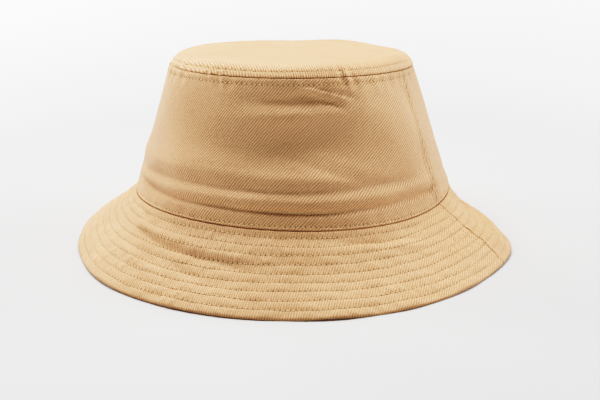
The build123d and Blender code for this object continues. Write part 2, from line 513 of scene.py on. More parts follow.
    def top(self, theta: Array, share: Array) -> Array:
        """Outer face of the tip.

        Args:
            theta: angles round the hat.
            share: places from 0 at the tip's middle to 1 at its seam.

        Returns:
            Points of the face.
        """
        middle = np.array([0, 0, self.tip_level])
        points = middle + (self.tip_ring(theta) - middle) * share[..., None]
        fullness = 1 + 0.05 * share**3 * Ripple(42, 2, 9, 10, 0).at(theta, 0 * theta)
        rise = self.dome * (1 - share**2) + self.shoulder * fullness * self.rim((1 - share) * min(self.tip))
        free = np.clip((1 - share) / 0.12, 0, 1) * share**2
        points[..., 2] += rise + 0.5 * MM * free * Ripple(41, 2, 4, 8, 1.5).at(theta, share)
        return points


# ---- surfaces and their relief


@dataclass(frozen=True)
class SeamLines:
    """How a row of stitches and the seam beside it press into the cloth.

    Attributes:
        pitch: length of one stitch.
        roll: how deep the cloth's edge rolls into a seam.
        roll_reach: how far from the seam the roll begins.
        crease: how deep a row of stitches presses.
        crease_reach: half width of that dip.
        deepest: how far the cloth of the crown may sink below its smooth form.
    """

    pitch: float = 2.7 * MM
    roll: float = 0.36 * MM
    roll_reach: float = 0.8 * MM
    crease: float = 0.20 * MM
    crease_reach: float = 0.65 * MM
    deepest: float = 0.5 * MM

    def rolled(self, distance: Array, depth: float = 1.0) -> Array:
        """Drop of the cloth's face at a distance from its seam."""
        return -self.roll * depth * np.clip(1 - np.abs(distance) / self.roll_reach, 0, 1) ** 2

    def pressed(self, distance: Array, phase: Array) -> Array:
        """Drop of the cloth's face by a row of stitches, deepest at the needle holes."""
        holes = 0.72 - 0.28 * np.cos(FULL_TURN * phase)
        return -self.crease * bell(distance, self.crease_reach) * holes


SEAMS = SeamLines()


@dataclass
class RowCount:
    """A ring of stitches: how far round it each angle lies, counted in stitches.

    Attributes:
        ring: points of the ring at the angles of TURN.
        turns: those angles and the full turn.
        counts: stitches from angle zero to each of them.
        count: stitches in the whole ring.
    """

    ring: Array
    turns: Array = field(init=False)
    counts: Array = field(init=False)
    count: int = field(init=False)

    def __post_init__(self) -> None:
        """Fit a whole number of stitches to the ring."""
        lengths = arc_length(np.concatenate([self.ring, self.ring[:1]]))
        self.count = round(lengths[-1] / SEAMS.pitch)
        self.turns = np.append(TURN, FULL_TURN)
        self.counts = np.append(lengths[:-1] / lengths[-1] * self.count, self.count)

    def middles(self) -> Array:
        """Angles of the stitches' middles."""
        return np.interp(np.arange(self.count), self.counts, self.turns)

    def phase(self, theta: Array) -> Array:
        """Stitches counted from the angle zero; holes lie at the half counts."""
        return np.interp(np.mod(theta, FULL_TURN), self.turns, self.counts)


@dataclass
class ClothSurface:
    """A surface that pieces of cloth and thread lie on, with its relief and its rows of stitches.

    Attributes:
        form: the hat's smooth form.
        side: 1 where the normals come out as they are, -1 where they have to be turned round.
        step: small step that the normals are measured over.
        slant: width of the cloth at the front.
    """

    side = 1.0
    step = 1e-4
    form: HatForm
    slant: float = field(init=False)

    def __post_init__(self) -> None:
        """Measure the cloth's width."""
        ends = self.base(np.array([FRONT] * 2), np.array([0.0, 1.0]))
        self.slant = float(np.linalg.norm(ends[1] - ends[0]))

    def base(self, theta: Array, share: Array) -> Array:
        """Points of the smooth surface."""
        raise NotImplementedError

    def relief(self, theta: Array, share: Array) -> Array:
        """Height of the cloth's outer face over the smooth surface."""
        raise NotImplementedError

    def normal(self, theta: Array, share: Array) -> Array:
        """Unit normals of the smooth surface.

        Args:
            theta: angles round the hat.
            share: places across the cloth.

        Returns:
            The normals, away from the hat's inside.
        """
        around = self.base(theta + self.step, share) - self.base(theta - self.step, share)
        across = self.base(theta, share + self.step) - self.base(theta, share - self.step)
        return unit(np.cross(around, across)) * self.side

    def layer(self, theta: Array, share: Array, lift: Array | float) -> Array:
        """Points at a distance from the smooth surface."""
        height = lift + 0 * theta * share
        return self.base(theta, share) + self.normal(theta, share) * height[..., None]

    def face(self, theta: Array, share: Array, lift: Array | float = 0.0) -> Array:
        """Points of the outer face, lifted by a distance along the normals."""
        return self.layer(theta, share, self.relief(theta, share) + lift)

    def row(self, theta: Array, share: Array, depth: Array | float) -> list[Run]:
        """A row of stitches as it shows on both faces of the cloth.

        Args:
            theta: angles of its points.
            share: their places across the cloth.
            depth: depth of the inner face under the smooth surface.

        Returns:
            The outer and the inner run, each with its directions away from the cloth.
        """
        out = self.normal(theta, share)
        return [(self.face(theta, share, ROW_LIFT), out), (self.layer(theta, share, -depth), -out)]

    def developed(self, theta: Array, share: Array, centre: float, far: tuple[float, float]) -> Array:
        """Unroll a conical panel into the plane.

        Args:
            theta: angles round the hat.
            share: places across the panel, from 0 at the brim seam to 1.
            centre: angle of the panel's middle.
            far: half width and half length of the oval at share 1.

        Returns:
            Flat places with the apex of the fan at the origin, in metres.
        """
        start = sum(self.form.base) / 2
        reach = self.slant * start / (start - sum(far) / 2)
        radius = abs(reach) + np.sign(reach) * -self.slant * share
        angle = turn_gap(theta, centre) * start / abs(reach)
        return np.stack([radius * np.sin(angle), -radius * np.cos(angle)], -1)


@dataclass
class CrownSurface(ClothSurface):
    """The crown's wall.

    Attributes:
        base_row: height of the topstitch over the brim seam.
        tip_row: drop of the topstitch under the tip seam.
        side_row: distance of each topstitch from a side seam.
        rows: the rings of stitches at the wall's two ends.
    """

    base_row: float = 2.0 * MM
    tip_row: float = 3.5 * MM
    side_row: float = 3.5 * MM
    rows: dict[str, RowCount] = field(init=False)

    def __post_init__(self) -> None:
        """Measure the wall and count its rings of stitches."""
        super().__post_init__()
        self.rows = {end: RowCount(self.base(TURN, 0 * TURN + share)) for end, share in self.levels.items()}

    @property
    def levels(self) -> dict[str, float]:
        """Places up the wall of its two rings of stitches."""
        return {"base": self.base_row / self.slant, "tip": 1 - self.tip_row / self.slant}

    @property
    def radius(self) -> float:
        """Middling distance from the hat's middle to a side seam's ends."""
        return 0.5 * (self.form.base[1] + self.form.tip[1])

    def base(self, theta: Array, share: Array) -> Array:
        """Points of the wall without seams."""
        return self.form.crown(theta, share)

    def stitches(self, theta: Array, share: Array) -> tuple[Array, Array]:
        """Find the nearest row of stitches.

        Args:
            theta: angles round the hat.
            share: heights on the wall.

        Returns:
            The distances to it in metres, and the counts of stitches along it.
        """
        height = share * self.slant
        rows = (
            (height - self.base_row, self.rows["base"].phase(theta) + 0 * share),
            (self.slant - height - self.tip_row, self.rows["tip"].phase(theta) + 0 * share),
            (side_turn(theta) * self.radius - self.side_row + 0 * share, height / SEAMS.pitch + 0 * theta),
        )
        gaps = np.stack([np.abs(row[0]) for row in rows])
        phases = np.stack([row[1] for row in rows])
        nearest = gaps.argmin(0)[None]
        return np.take_along_axis(gaps, nearest, 0)[0], np.take_along_axis(phases, nearest, 0)[0]

    def relief(self, theta: Array, share: Array) -> Array:
        """Rolled seams, pressed rows of stitches and the puckers that they draw.

        Args:
            theta: angles round the hat.
            share: heights on the wall.

        Returns:
            Heights of the outer face over the smooth wall.
        """
        height = share * self.slant
        drop = self.slant - height
        side = side_turn(theta) * self.radius
        relief = SEAMS.rolled(height, 0.55) + SEAMS.rolled(drop, 0.4) + SEAMS.rolled(side, 0.5)
        relief = relief + SEAMS.pressed(*self.stitches(theta, share))
        for distance, ridge in ((height, Ridge(0.42, 1.0, 0.55)), (side, Ridge(0.16, 1.1, 0.6)),
                                (drop, Ridge(0.20, 1.8, 1.0))):
            relief = relief + ridge.at(distance)
        puckers = Ripple(51, 34, 80, 14, 6).at(theta, share)
        ladder = Ripple(52, 1, 2, 6, 120).at(theta, share)
        for wave, distance, ridge in ((puckers, drop, Ridge(0.11, 3.5, 5)), (ladder, side, Ridge(0.09, 3, 5)),
                                      (puckers, height, Ridge(0.08, 3, 5))):
            relief = relief + wave * ridge.at(distance)
        relief = relief + sum(gather.at(theta, drop) for gather in GATHERS) * bell(drop, 9 * MM)
        return np.maximum(relief, -SEAMS.deepest)

    def shade(self, theta: Array, share: Array) -> Array:
        """Painted shade: how far the cloth's colour is darkened in its seams, where shade falls."""
        dark = 0.25 * bell(share * self.slant, 0.40 * MM) + 0.28 * bell((1 - share) * self.slant, 0.35 * MM)
        return 1 - np.clip(dark + 0.16 * bell(side_turn(theta) * self.radius, 0.30 * MM), 0, 0.75)


@dataclass
class BrimSurface(ClothSurface):
    """The middle of the brim, with the swell of its quilted upper cloth.

    Attributes:
        puff: height of the swell between two rows of stitches.
        wander: how far a row strays from its line.
        face_height: height of the cloth's face where it lies flat.
        thinnest: least height of the face over the brim's middle.
        lines: places of the rows of stitches across the brim.
        rows: the rings of stitches on those lines.
    """

    side = -1.0
    puff: float = 0.15 * MM
    wander: float = 0.14 * MM
    face_height: float = 0.80 * MM
    thinnest: float = 0.07 * MM
    lines: Array = field(init=False)
    rows: list[RowCount] = field(init=False)

    def __post_init__(self) -> None:
        """Read the rows' levels from the CAD nodes and count their stitches."""
        super().__post_init__()
        boxes = [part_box(f"brim_stitch_row_{number}") for number in range(1, 10)]
        self.lines = 1 - np.array([(low.z + high.z) / 2 for low, high in boxes]) / self.form.seam_level
        self.rows = [RowCount(self.base(TURN, self.line(TURN, i))) for i in range(len(boxes))]

    def line(self, theta: Array, number: int) -> Array:
        """Place across the brim of a row of stitches."""
        return self.lines[number] + self.stray(theta, 0 * theta + self.lines[number])

    def stray(self, theta: Array, share: Array) -> Array:
        """How far the rows stray here, as a share of the brim's width."""
        return self.wander / self.slant * Ripple(61, 3, 14, 12, 16).at(theta, share)

    def channel(self, theta: Array, share: Array) -> Array:
        """Count of rows passed on the way from the seam to the edge."""
        lines = np.concatenate([[0.0], self.lines, [1.0]])
        return np.interp(share - self.stray(theta, share), lines, np.arange(-1, len(self.lines) + 1))

    def base(self, theta: Array, share: Array) -> Array:
        """Points midway through the brim."""
        return self.form.brim(theta, share)

    def stitches(self, theta: Array, share: Array) -> tuple[Array, Array]:
        """Find the nearest row of stitches.

        Args:
            theta: angles round the hat.
            share: places across the brim.

        Returns:
            The distances to it in metres, and the counts of stitches along it.
        """
        channel = self.channel(theta, share)
        nearest = np.clip(np.rint(channel), 0, len(self.rows) - 1).astype(int)
        phases = np.choose(nearest, [row.phase(theta) + 0 * share for row in self.rows])
        return np.abs(channel - nearest) * ((self.lines[1] - self.lines[0]) * self.slant), phases

    def swell(self, theta: Array, share: Array) -> Array:
        """Swell of the cloth between its rows of stitches, with the creases that cross it.

        Args:
            theta: angles round the hat.
            share: places across the brim.

        Returns:
            Heights over the flat cloth.
        """
        channel = self.channel(theta, share)
        strip = np.floor(channel)
        arch = np.abs(np.sin(math.pi * channel)) ** 0.75 * np.where(channel < 0, 0.55, 1.0)
        puff = self.puff * (1 + 0.30 * Ripple(71, 5, 24, 12, 14).at(theta, share + 2.3 * strip))
        creases = Ripple(72, 70, 170, 16, 38).at(theta, share + 3.7 * strip)
        patches = np.clip(0.35 + 0.65 * Ripple(74, 3, 9, 8, 9).at(theta, share), 0, 1.6)
        broad = np.clip(Ripple(73, 18, 46, 14, 12).at(theta, share + 0.09 * strip), -1.2, 1.6)
        broad = 0.18 * MM * broad * np.clip(share / 0.1, 0, 1) * (0.3 + 0.7 * arch)
        return arch * (puff + 0.095 * MM * creases * patches) + broad

    def edge_fade(self, share: Array) -> Array:
        """How much of its height the cloth keeps: about half at the seam and none at the edge."""
        inner = rounded(share * self.slant, 0.8 * MM)
        return rounded((1 - share) * self.slant, 1.1 * MM) * (0.55 + 0.45 * inner)

    def side_gap(self, theta: Array, share: Array) -> Array:
        """Distance round the brim to the nearer side seam, in metres."""
        return side_turn(theta) * (self.form.base[1] + (self.form.edge[1] - self.form.base[1]) * share)

    def relief(self, theta: Array, share: Array, under: bool = False) -> Array:
        """Height of the upper or under cloth's face over the brim's middle.

        Args:
            theta: angles round the hat.
            share: places across the brim.
            under: whether it is the under cloth, whose creases lie a little further round.

        Returns:
            Heights of the face.
        """
        gap, phase = self.stitches(theta, share)
        side = self.side_gap(theta, share)
        swell = self.swell(theta + (0.02 if under else 0.0), share)
        evenness = np.clip(0.6 + 0.5 * Ripple(75, 3, 8, 8, 4).at(theta, share), 0.15, 1.3)
        ribs = 0.08 * MM * evenness * np.cos(FULL_TURN * phase) * bell(gap, 2.6 * MM)
        height = self.face_height + swell + ribs + SEAMS.pressed(gap, phase) + Ridge(0.12, 1.1, 0.7).at(side)
        return np.maximum(height * self.edge_fade(share) + SEAMS.rolled(side), self.thinnest)

    def shade(self, theta: Array, share: Array) -> Array:
        """Painted shade: how far the cloth's colour is darkened in its seams and in the gap at its edge,
        where shade falls.
        """
        dark = 0.20 * bell(share * self.slant, 0.5 * MM) + 0.40 * bell(self.side_gap(theta, share), 0.30 * MM)
        return 1 - np.clip(dark + 0.30 * bell((1 - share) * self.slant, 0.5 * MM), 0, 0.75)


@dataclass
class TipSurface(ClothSurface):
    """The crown's tip.

    Attributes:
        line_gap: distance of the topstitch in from the tip seam.
        ring: the topstitch.
    """

    side = -1.0
    line_gap: float = 2.2 * MM
    ring: RowCount = field(init=False)

    def __post_init__(self) -> None:
        """Measure the tip and count the stitches round it."""
        super().__post_init__()
        self.ring = RowCount(self.base(TURN, self.line(TURN)))

    def reach(self, theta: Array) -> Array:
        """Distance from the tip's middle to its seam."""
        return np.linalg.norm(self.form.tip_ring(theta)[..., :2], axis=-1)

    def line(self, theta: Array) -> Array:
        """Place of the topstitch, as a share of the way out to the seam."""
        return 1 - self.line_gap / self.reach(theta)

    def base(self, theta: Array, share: Array) -> Array:
        """Points of the tip without its seam."""
        return self.form.top(theta, share)

    def drop(self, inward: Array | float) -> Array:
        """Distance over the rounded rim from a place to the tip seam."""
        return np.hypot(inward, self.form.shoulder * self.form.rim(inward))

    def stitches(self, theta: Array, share: Array) -> tuple[Array, Array]:
        """Distance to the topstitch, and the count along it."""
        gap = np.abs(self.drop((1 - share) * self.reach(theta)) - self.drop(self.line_gap))
        return gap, self.ring.phase(theta) + 0 * share

    def relief(self, theta: Array, share: Array) -> Array:
        """The rolled seam, the pressed row and its puckers.

        Args:
            theta: angles round the hat.
            share: places from the tip's middle to its seam.

        Returns:
            Heights of the outer face over the smooth tip.
        """
        inward = (1 - share) * self.reach(theta)
        drop = self.drop(inward)
        puckers = Ripple(81, 34, 80, 14, 4).at(theta, share)
        relief = SEAMS.rolled(drop, 0.45) + SEAMS.pressed(*self.stitches(theta, share))
        relief = relief + Ridge(0.10, 1.6, 0.8).at(drop) + puckers * Ridge(0.10, 3, 4).at(inward)
        relief = relief + sum(gather.at(theta, -inward) for gather in GATHERS)
        return np.maximum(relief, -SEAMS.deepest)

    def shade(self, theta: Array, share: Array) -> Array:
        """Painted shade: how far the cloth's colour is darkened in its seam, where shade falls."""
        return 1 - 0.30 * bell(self.drop((1 - share) * self.reach(theta)), 0.35 * MM)


# ---- finishes


class Slot(Enum):
    """Names of the hat's material slots."""

    TWILL = "twill_shell"
    THREAD = "sewing_thread"
    TAPE = "cotton_tape"
    INTERLINING = "interlining"
    LABEL = "label_cloth"


def curve_out(value: float) -> float:
    """Turn a swatch's share of white into the strength of its light."""
    return value / 12.92 if value <= 0.04045 else ((value + 0.055) / 1.055) ** 2.4


def linear(red: int, green: int, blue: int) -> tuple[float, float, float, float]:
    """A shader colour from the eight-bit values of a dyer's swatch."""
    return (*(curve_out(value / 255) for value in (red, green, blue)), 1.0)


@dataclass
class Nodes:
    """A node tree, filled in step by step."""

    tree: bpy.types.NodeTree

    def node(self, kind: str, inputs: dict | None = None, **options: object) -> bpy.types.Node:
        """Add a node.

        Args:
            kind: the node's type.
            inputs: values or sockets for its inputs, by name or number.
            options: values for its properties.

        Returns:
            The new node.
        """
        made = self.tree.nodes.new(kind)
        for key, value in options.items():
            setattr(made, key, value)
        for key, value in (inputs or {}).items():
            if isinstance(value, bpy.types.NodeSocket):
                self.tree.links.new(value, made.inputs[key])
            else:
                made.inputs[key].default_value = value
        return made

    def math(self, operation: str, *values: object) -> bpy.types.NodeSocket:
        """Add a sum and return its result."""
        return self.node("ShaderNodeMath", dict(enumerate(values)), operation=operation).outputs[0]

    def total(self, *parts: tuple[object, float]) -> bpy.types.NodeSocket:
        """Add up some values, each times its own share."""
        terms = [self.math("MULTIPLY", value, share) for value, share in parts]
        return reduce(lambda one, two: self.math("ADD", one, two), terms)

    def wave(self, value: object, length: float, operation: str = "SINE") -> bpy.types.NodeSocket:
        """Add a wave that comes round after a length."""
        return self.math(operation, self.math("MULTIPLY", value, FULL_TURN / length))


class NodeSheet(Nodes):
    """A material's node tree with one shader."""

    def __init__(self, name: str) -> None:
        """Start the material.

        Args:
            name: its name.
        """
        self.material = bpy.data.materials.new(name)
        self.material.use_nodes = True
        super().__init__(self.material.node_tree)
        self.shader = self.tree.nodes["Principled BSDF"]

    def dial(self, **values: object) -> None:
        """Set the shader's own numbers, with underscores for the spaces in their names."""
        for name, value in values.items():
            self.shader.inputs[name.replace("_", " ")].default_value = value

    def flat(self) -> tuple[bpy.types.NodeSocket, bpy.types.NodeSocket, bpy.types.NodeSocket]:
        """The place on the flat piece, and its two parts."""
        place = self.node("ShaderNodeUVMap", uv_map="flat").outputs["UV"]
        return place, *self.node("ShaderNodeSeparateXYZ", {0: place}).outputs[:2]

    def place(self) -> bpy.types.NodeSocket:
        """The place on the object."""
        return self.node("ShaderNodeTexCoord").outputs["Object"]

    def noise(self, vector: bpy.types.NodeSocket, scale: float, detail: float) -> bpy.types.NodeSocket:
        """Add noise at so many waves a metre and return its strength."""
        inputs = {"Vector": vector, "Scale": scale, "Detail": detail}
        return self.node("ShaderNodeTexNoise", inputs).outputs["Fac"]

    def spread(self, value: bpy.types.NodeSocket, to_low: float, to_high: float,
               low: float = 0.3, high: float = 0.7) -> bpy.types.NodeSocket:
        """Stretch a range of values, by default that of noise, onto another and return the result."""
        inputs = {"Value": value, "From Min": low, "From Max": high, "To Min": to_low, "To Max": to_high}
        return self.node("ShaderNodeMapRange", inputs).outputs["Result"]

    def blend(self, kind: str, share: object, one: object, two: object) -> bpy.types.NodeSocket:
        """Mix two colours and return the result."""
        inputs = {0: share, 6: one, 7: two}
        return self.node("ShaderNodeMix", inputs, data_type="RGBA", blend_type=kind).outputs[2]

    def toned(self, tone: bpy.types.NodeSocket, dark: tuple, light: tuple) -> bpy.types.NodeSocket:
        """Mix a cloth's two colours by a tone that is first held between 0 and 1."""
        return self.blend("MIX", self.node("ShaderNodeClamp", {0: tone}).outputs[0], dark, light)

    def attribute(self, name: str) -> bpy.types.NodeSocket:
        """Read a number stored on the mesh."""
        return self.node("ShaderNodeAttribute", attribute_name=name).outputs["Fac"]

    def finish(self, colour: bpy.types.NodeSocket, roughness: bpy.types.NodeSocket,
               height: bpy.types.NodeSocket, depth: float) -> bpy.types.Material:
        """Wire the shader.

        Args:
            colour: the cloth's colour.
            roughness: its roughness.
            height: pattern of its bumps, from 0 to 1.
            depth: how deep they are.

        Returns:
            The finished material.
        """
        bump = self.node("ShaderNodeBump", {"Height": height, "Distance": depth})
        wires = {"Base Color": colour, "Roughness": roughness, "Normal": bump.outputs["Normal"]}
        for name, value in wires.items():
            self.tree.links.new(value, self.shader.inputs[name])
        return self.material


@dataclass(frozen=True)
class TwillFinish:
    """Yarn-dyed cotton twill, its diagonal ribs laid on the flat panel.

    Attributes:
        name: the material's name.
        lean: angle of the ribs on the flat panel, in degrees.
        contrast: how far the colour swings between ribs, from 0 to 1.
        light: colour of the raised ribs.
        dark: colour between the ribs.
        rib: distance from one rib to the next.
        bump: depth of the weave.
    """

    name: str
    lean: float
    contrast: float
    light: tuple = linear(242, 197, 152)
    dark: tuple = linear(180, 131, 88)
    rib: float = 1.25 * MM
    bump: float = 0.16 * MM

    def seam_shade(self, sheet: NodeSheet) -> bpy.types.NodeSocket:
        """Paint shade into the cloth's colour in its needle holes, along its rows of stitches and in its
        seams, where shade falls.

        Args:
            sheet: the material's nodes.

        Returns:
            A warm grey of painted shade to multiply the cloth's colour by.
        """
        gap = sheet.attribute("stitch_gap")
        phase = sheet.math("SUBTRACT", sheet.math("FRACT", sheet.attribute("stitch_phase")), 0.5)
        beside = sheet.math("MULTIPLY", sheet.math("ABSOLUTE", phase), SEAMS.pitch)
        squares = [sheet.math("POWER", side, 2.0) for side in (gap, beside)]
        # painted shade: dark spots in the needle holes
        hole_shade = sheet.spread(sheet.math("SQRT", sheet.math("ADD", *squares)), 0.42, 1.0, 0.15 * MM, 0.45 * MM)
        # painted shade: a thin dark line along each row of stitches, where the thread shades the cloth
        crease = sheet.spread(gap, 0.66, 1.0, 0.16 * MM, 0.55 * MM)
        # the number stored on the mesh adds painted shade in the seams and at the brim's edge
        shade = sheet.math("MULTIPLY", sheet.math("MULTIPLY", hole_shade, crease), sheet.attribute("seam_shade"))
        parts = {0: shade, 1: sheet.math("POWER", shade, 1.25), 2: sheet.math("POWER", shade, 1.7)}
        return sheet.node("ShaderNodeCombineColor", parts).outputs[0]

    def make(self) -> bpy.types.Material:
        """Build the material.

        Returns:
            The twill.
        """
        sheet = NodeSheet(self.name)
        flat, x, y = sheet.flat()
        upright, slanting = math.cos(math.radians(self.lean)), math.sin(math.radians(self.lean))
        along = sheet.total((x, upright), (y, slanting))
        slub = sheet.spread(sheet.noise(flat, 240, 2), -0.22 * MM, 0.22 * MM)
        across = sheet.math("ADD", sheet.total((y, upright), (x, -slanting)), slub)
        ribs = sheet.wave(across, self.rib)
        picks = [sheet.wave(along, 0.62 * self.rib), sheet.wave(across, 2 * self.rib, "COSINE")]
        picks = sheet.math("MULTIPLY", *picks)
        yarn = sheet.spread(sheet.noise(flat, 1500, 2), -1, 1)
        uneven = sheet.noise(flat, 420, 3)
        patch = sheet.noise(sheet.place(), 34, 3)
        weave = sheet.total((ribs, 0.36), (picks, 0.14), (yarn, 0.22))
        tone = sheet.total((weave, self.contrast), (0.5, 1.0), (sheet.spread(uneven, -0.10, 0.10), 1.0),
                           (sheet.spread(patch, -0.09, 0.09), 1.0))
        dyed = sheet.toned(tone, self.dark, self.light)
        colour = sheet.blend("MULTIPLY", 1.0, dyed, self.seam_shade(sheet))
        sheet.dial(Specular_IOR_Level=0.34, Sheen_Weight=0.24, Sheen_Roughness=0.40,
                   Sheen_Tint=(1, 0.96, 0.90, 1))
        return sheet.finish(colour, sheet.spread(uneven, 0.50, 0.62), weave, self.bump)


@dataclass(frozen=True)
class TapeFinish:
    """Woven cotton tape or ribbon with fine ribs across it.

    Attributes:
        name: the material's name.
        light: colour of the ribs.
        dark: colour between the ribs.
        rib: distance from one rib to the next.
        fuzz: fineness of the fibres, in waves a metre.
        bump: depth of the weave.
    """

    name: str
    light: tuple
    dark: tuple
    rib: float
    fuzz: float = 2200.0
    bump: float = 0.05 * MM

    def make(self) -> bpy.types.Material:
        """Build the material.

        Returns:
            The tape's cloth.
        """
        sheet = NodeSheet(self.name)
        flat, x, y = sheet.flat()
        fibre = sheet.spread(sheet.noise(flat, self.fuzz, 2), -0.2, 0.2)
        uneven = sheet.noise(flat, 160, 3)
        warp, weft = sheet.wave(x, self.rib), sheet.wave(y, 0.5 * self.rib)
        weave = sheet.total((warp, 0.25), (weft, 0.15), (fibre, 1.0))
        tone = sheet.total((weave, 1.0), (0.5, 1.0), (sheet.spread(uneven, -0.2, 0.2), 1.0))
        sheet.dial(Specular_IOR_Level=0.25, Sheen_Weight=0.1)
        colour = sheet.toned(tone, self.dark, self.light)
        return sheet.finish(colour, sheet.spread(uneven, 0.7, 0.9), weave, self.bump)


@dataclass(frozen=True)
class ThreadFinish:
    """Spun sewing thread.

    Attributes:
        name: the material's name.
        light: colour of the thread's top.
        dark: colour between its plies.
        bump: depth of its plies.
    """

    name: str
    light: tuple = linear(250, 222, 178)
    dark: tuple = linear(226, 188, 138)
    bump: float = 0.05 * MM

    def make(self) -> bpy.types.Material:
        """Build the material.

        Returns:
            The thread.
        """
        sheet = NodeSheet(self.name)
        place = sheet.place()
        plies, length = sheet.noise(place, 3200, 2), sheet.noise(place, 260, 2)
        tone = sheet.math("MULTIPLY", sheet.spread(plies, 0, 1), sheet.spread(length, 0.6, 1.0))
        sheet.dial(Specular_IOR_Level=0.35, Sheen_Weight=0.1)
        colour = sheet.blend("MIX", tone, self.dark, self.light)
        return sheet.finish(colour, sheet.spread(length, 0.5, 0.7), plies, self.bump)


class Finishes:
    """Every material of the hat, made once."""

    def __init__(self) -> None:
        """Build the materials, each panel's twill with its own lean."""
        self.crown = TwillFinish("twill_crown", 52, 1.25).make()
        self.brim = TwillFinish("twill_brim", 90, 0.85).make()
        self.brim_back = TwillFinish("twill_brim_back", 32, 0.8).make()
        self.tip = TwillFinish("twill_tip", 138, 1.3).make()
        self.thread = ThreadFinish("sewing_thread").make()
        self.tape = TapeFinish("cotton_tape", linear(226, 192, 148), linear(200, 162, 116), 0.8 * MM).make()
        felt = linear(240, 236, 226), linear(222, 216, 204)
        self.interlining = TapeFinish("bonded_interlining", *felt, 1.6 * MM, 900).make()
        satin = linear(250, 248, 242), linear(232, 228, 218)
        self.label = TapeFinish("satin_label", *satin, 0.5 * MM).make()


# ---- cloth


def stand(name: str, mesh: bpy.types.Mesh) -> bpy.types.Object:
    """Put a mesh into the scene as an object.

    Args:
        name: the object's name.
        mesh: its mesh.

    Returns:
        The object.
    """
    made = bpy.data.objects.new(name, mesh)
    bpy.context.scene.collection.objects.link(made)
    return made


def keep(piece: bpy.types.Object, body: str, slot: Slot, *nodes: str) -> None:
    """Ride a piece on its body, in place of its CAD nodes, and log it.

    Args:
        piece: the finished object.
        body: the body that it moves with.
        slot: not used.
        nodes: the CAD nodes that it stands for.
    """
    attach(piece, body)
    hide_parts(*nodes)
    LOG.info("%s: %d faces, rides %s", piece.name, len(piece.data.polygons), body)


@dataclass
class Cloth:
    """One piece of cloth as two grids of points, its face and its back.

    Attributes:
        face: points of the outer face, round the hat and then up or inwards.
        back: points of the inner face.
        flat: place of each point on the flat piece.
        closed: whether the piece comes round to its start.
        gap: distance to the nearest row of stitches.
        phase: count of stitches along that row.
        shade: painted shade, how far the cloth's colour is darkened in its seams and at the brim's edge.
    """

    face: Array
    back: Array
    flat: Array
    closed: bool = False
    gap: Array | float = 0.01
    phase: Array | float = 0.0
    shade: Array | float = 1.0

    @property
    def size(self) -> int:
        """Number of points on one face."""
        return self.face.shape[0] * self.face.shape[1]

    def quads(self, start: int) -> Array:
        """Corner numbers of one face's quads.

        Args:
            start: number of the face's first point.

        Returns:
            Four numbers for each quad.
        """
        numbers = np.arange(self.size).reshape(self.face.shape[:2]) + start
        if self.closed:
            numbers = np.concatenate([numbers, numbers[:1]])
        corners = [numbers[:-1, :-1], numbers[1:, :-1], numbers[1:, 1:], numbers[:-1, 1:]]
        return np.stack(corners, -1).reshape(-1, 4)

    def rim(self) -> Array:
        """Corner numbers of the quads that close the piece between face and back.

        Returns:
            Four numbers for each quad.
        """
        numbers = np.arange(self.size).reshape(self.face.shape[:2])
        first, last = numbers[:, 0], numbers[:, -1]
        if self.closed:
            runs = [np.append(first, first[0])[::-1], np.append(last, last[0])]
        else:
            runs = [first[::-1], last, numbers[0], numbers[-1][::-1]]
        quads = [np.stack([run[:-1], run[1:], run[1:] + self.size, run[:-1] + self.size], -1) for run in runs]
        return np.concatenate(quads)

    def make(self, name: str, material: bpy.types.Material) -> bpy.types.Object:
        """Build the closed mesh with its flat map and its stored numbers.

        Args:
            name: the piece's name.
            material: its finish.

        Returns:
            The piece.
        """
        points = np.concatenate([self.face.reshape(-1, 3), self.back.reshape(-1, 3)])
        quads = np.concatenate([self.quads(0), self.quads(self.size)[:, ::-1], self.rim()])
        mesh = bpy.data.meshes.new(name)
        mesh.vertices.add(len(points))
        mesh.vertices.foreach_set("co", points.astype(np.float32).ravel())
        mesh.loops.add(quads.size)
        mesh.loops.foreach_set("vertex_index", quads.astype(np.int32).ravel())
        mesh.polygons.add(len(quads))
        mesh.polygons.foreach_set("loop_start", np.arange(0, quads.size, 4, dtype=np.int32))
        mesh.update(calc_edges=True)
        mesh.polygons.foreach_set("use_smooth", np.ones(len(quads), bool))
        flat = np.concatenate([self.flat.reshape(-1, 2)] * 2)
        mesh.uv_layers.new(name="flat").data.foreach_set("uv", flat[quads.ravel()].astype(np.float32).ravel())
        # The third stored number is painted shade in the seams and at the brim's edge.
        stored = {"stitch_gap": self.gap, "stitch_phase": self.phase, "seam_shade": self.shade}
        for title, values in stored.items():
            values = (values + np.zeros(self.face.shape[:2])).ravel()
            layer = mesh.attributes.new(title, "FLOAT", "POINT")
            layer.data.foreach_set("value", np.concatenate([values] * 2).astype(np.float32))
        mesh.validate()
        mesh.materials.append(material)
        return stand(name, mesh)

    def sheet(self, piece: bpy.types.Object, held: str, *rests_on: str) -> None:
        """Args:
            piece: not used.
            held: not used.
            rests_on: not used.
        """


# ---- thread


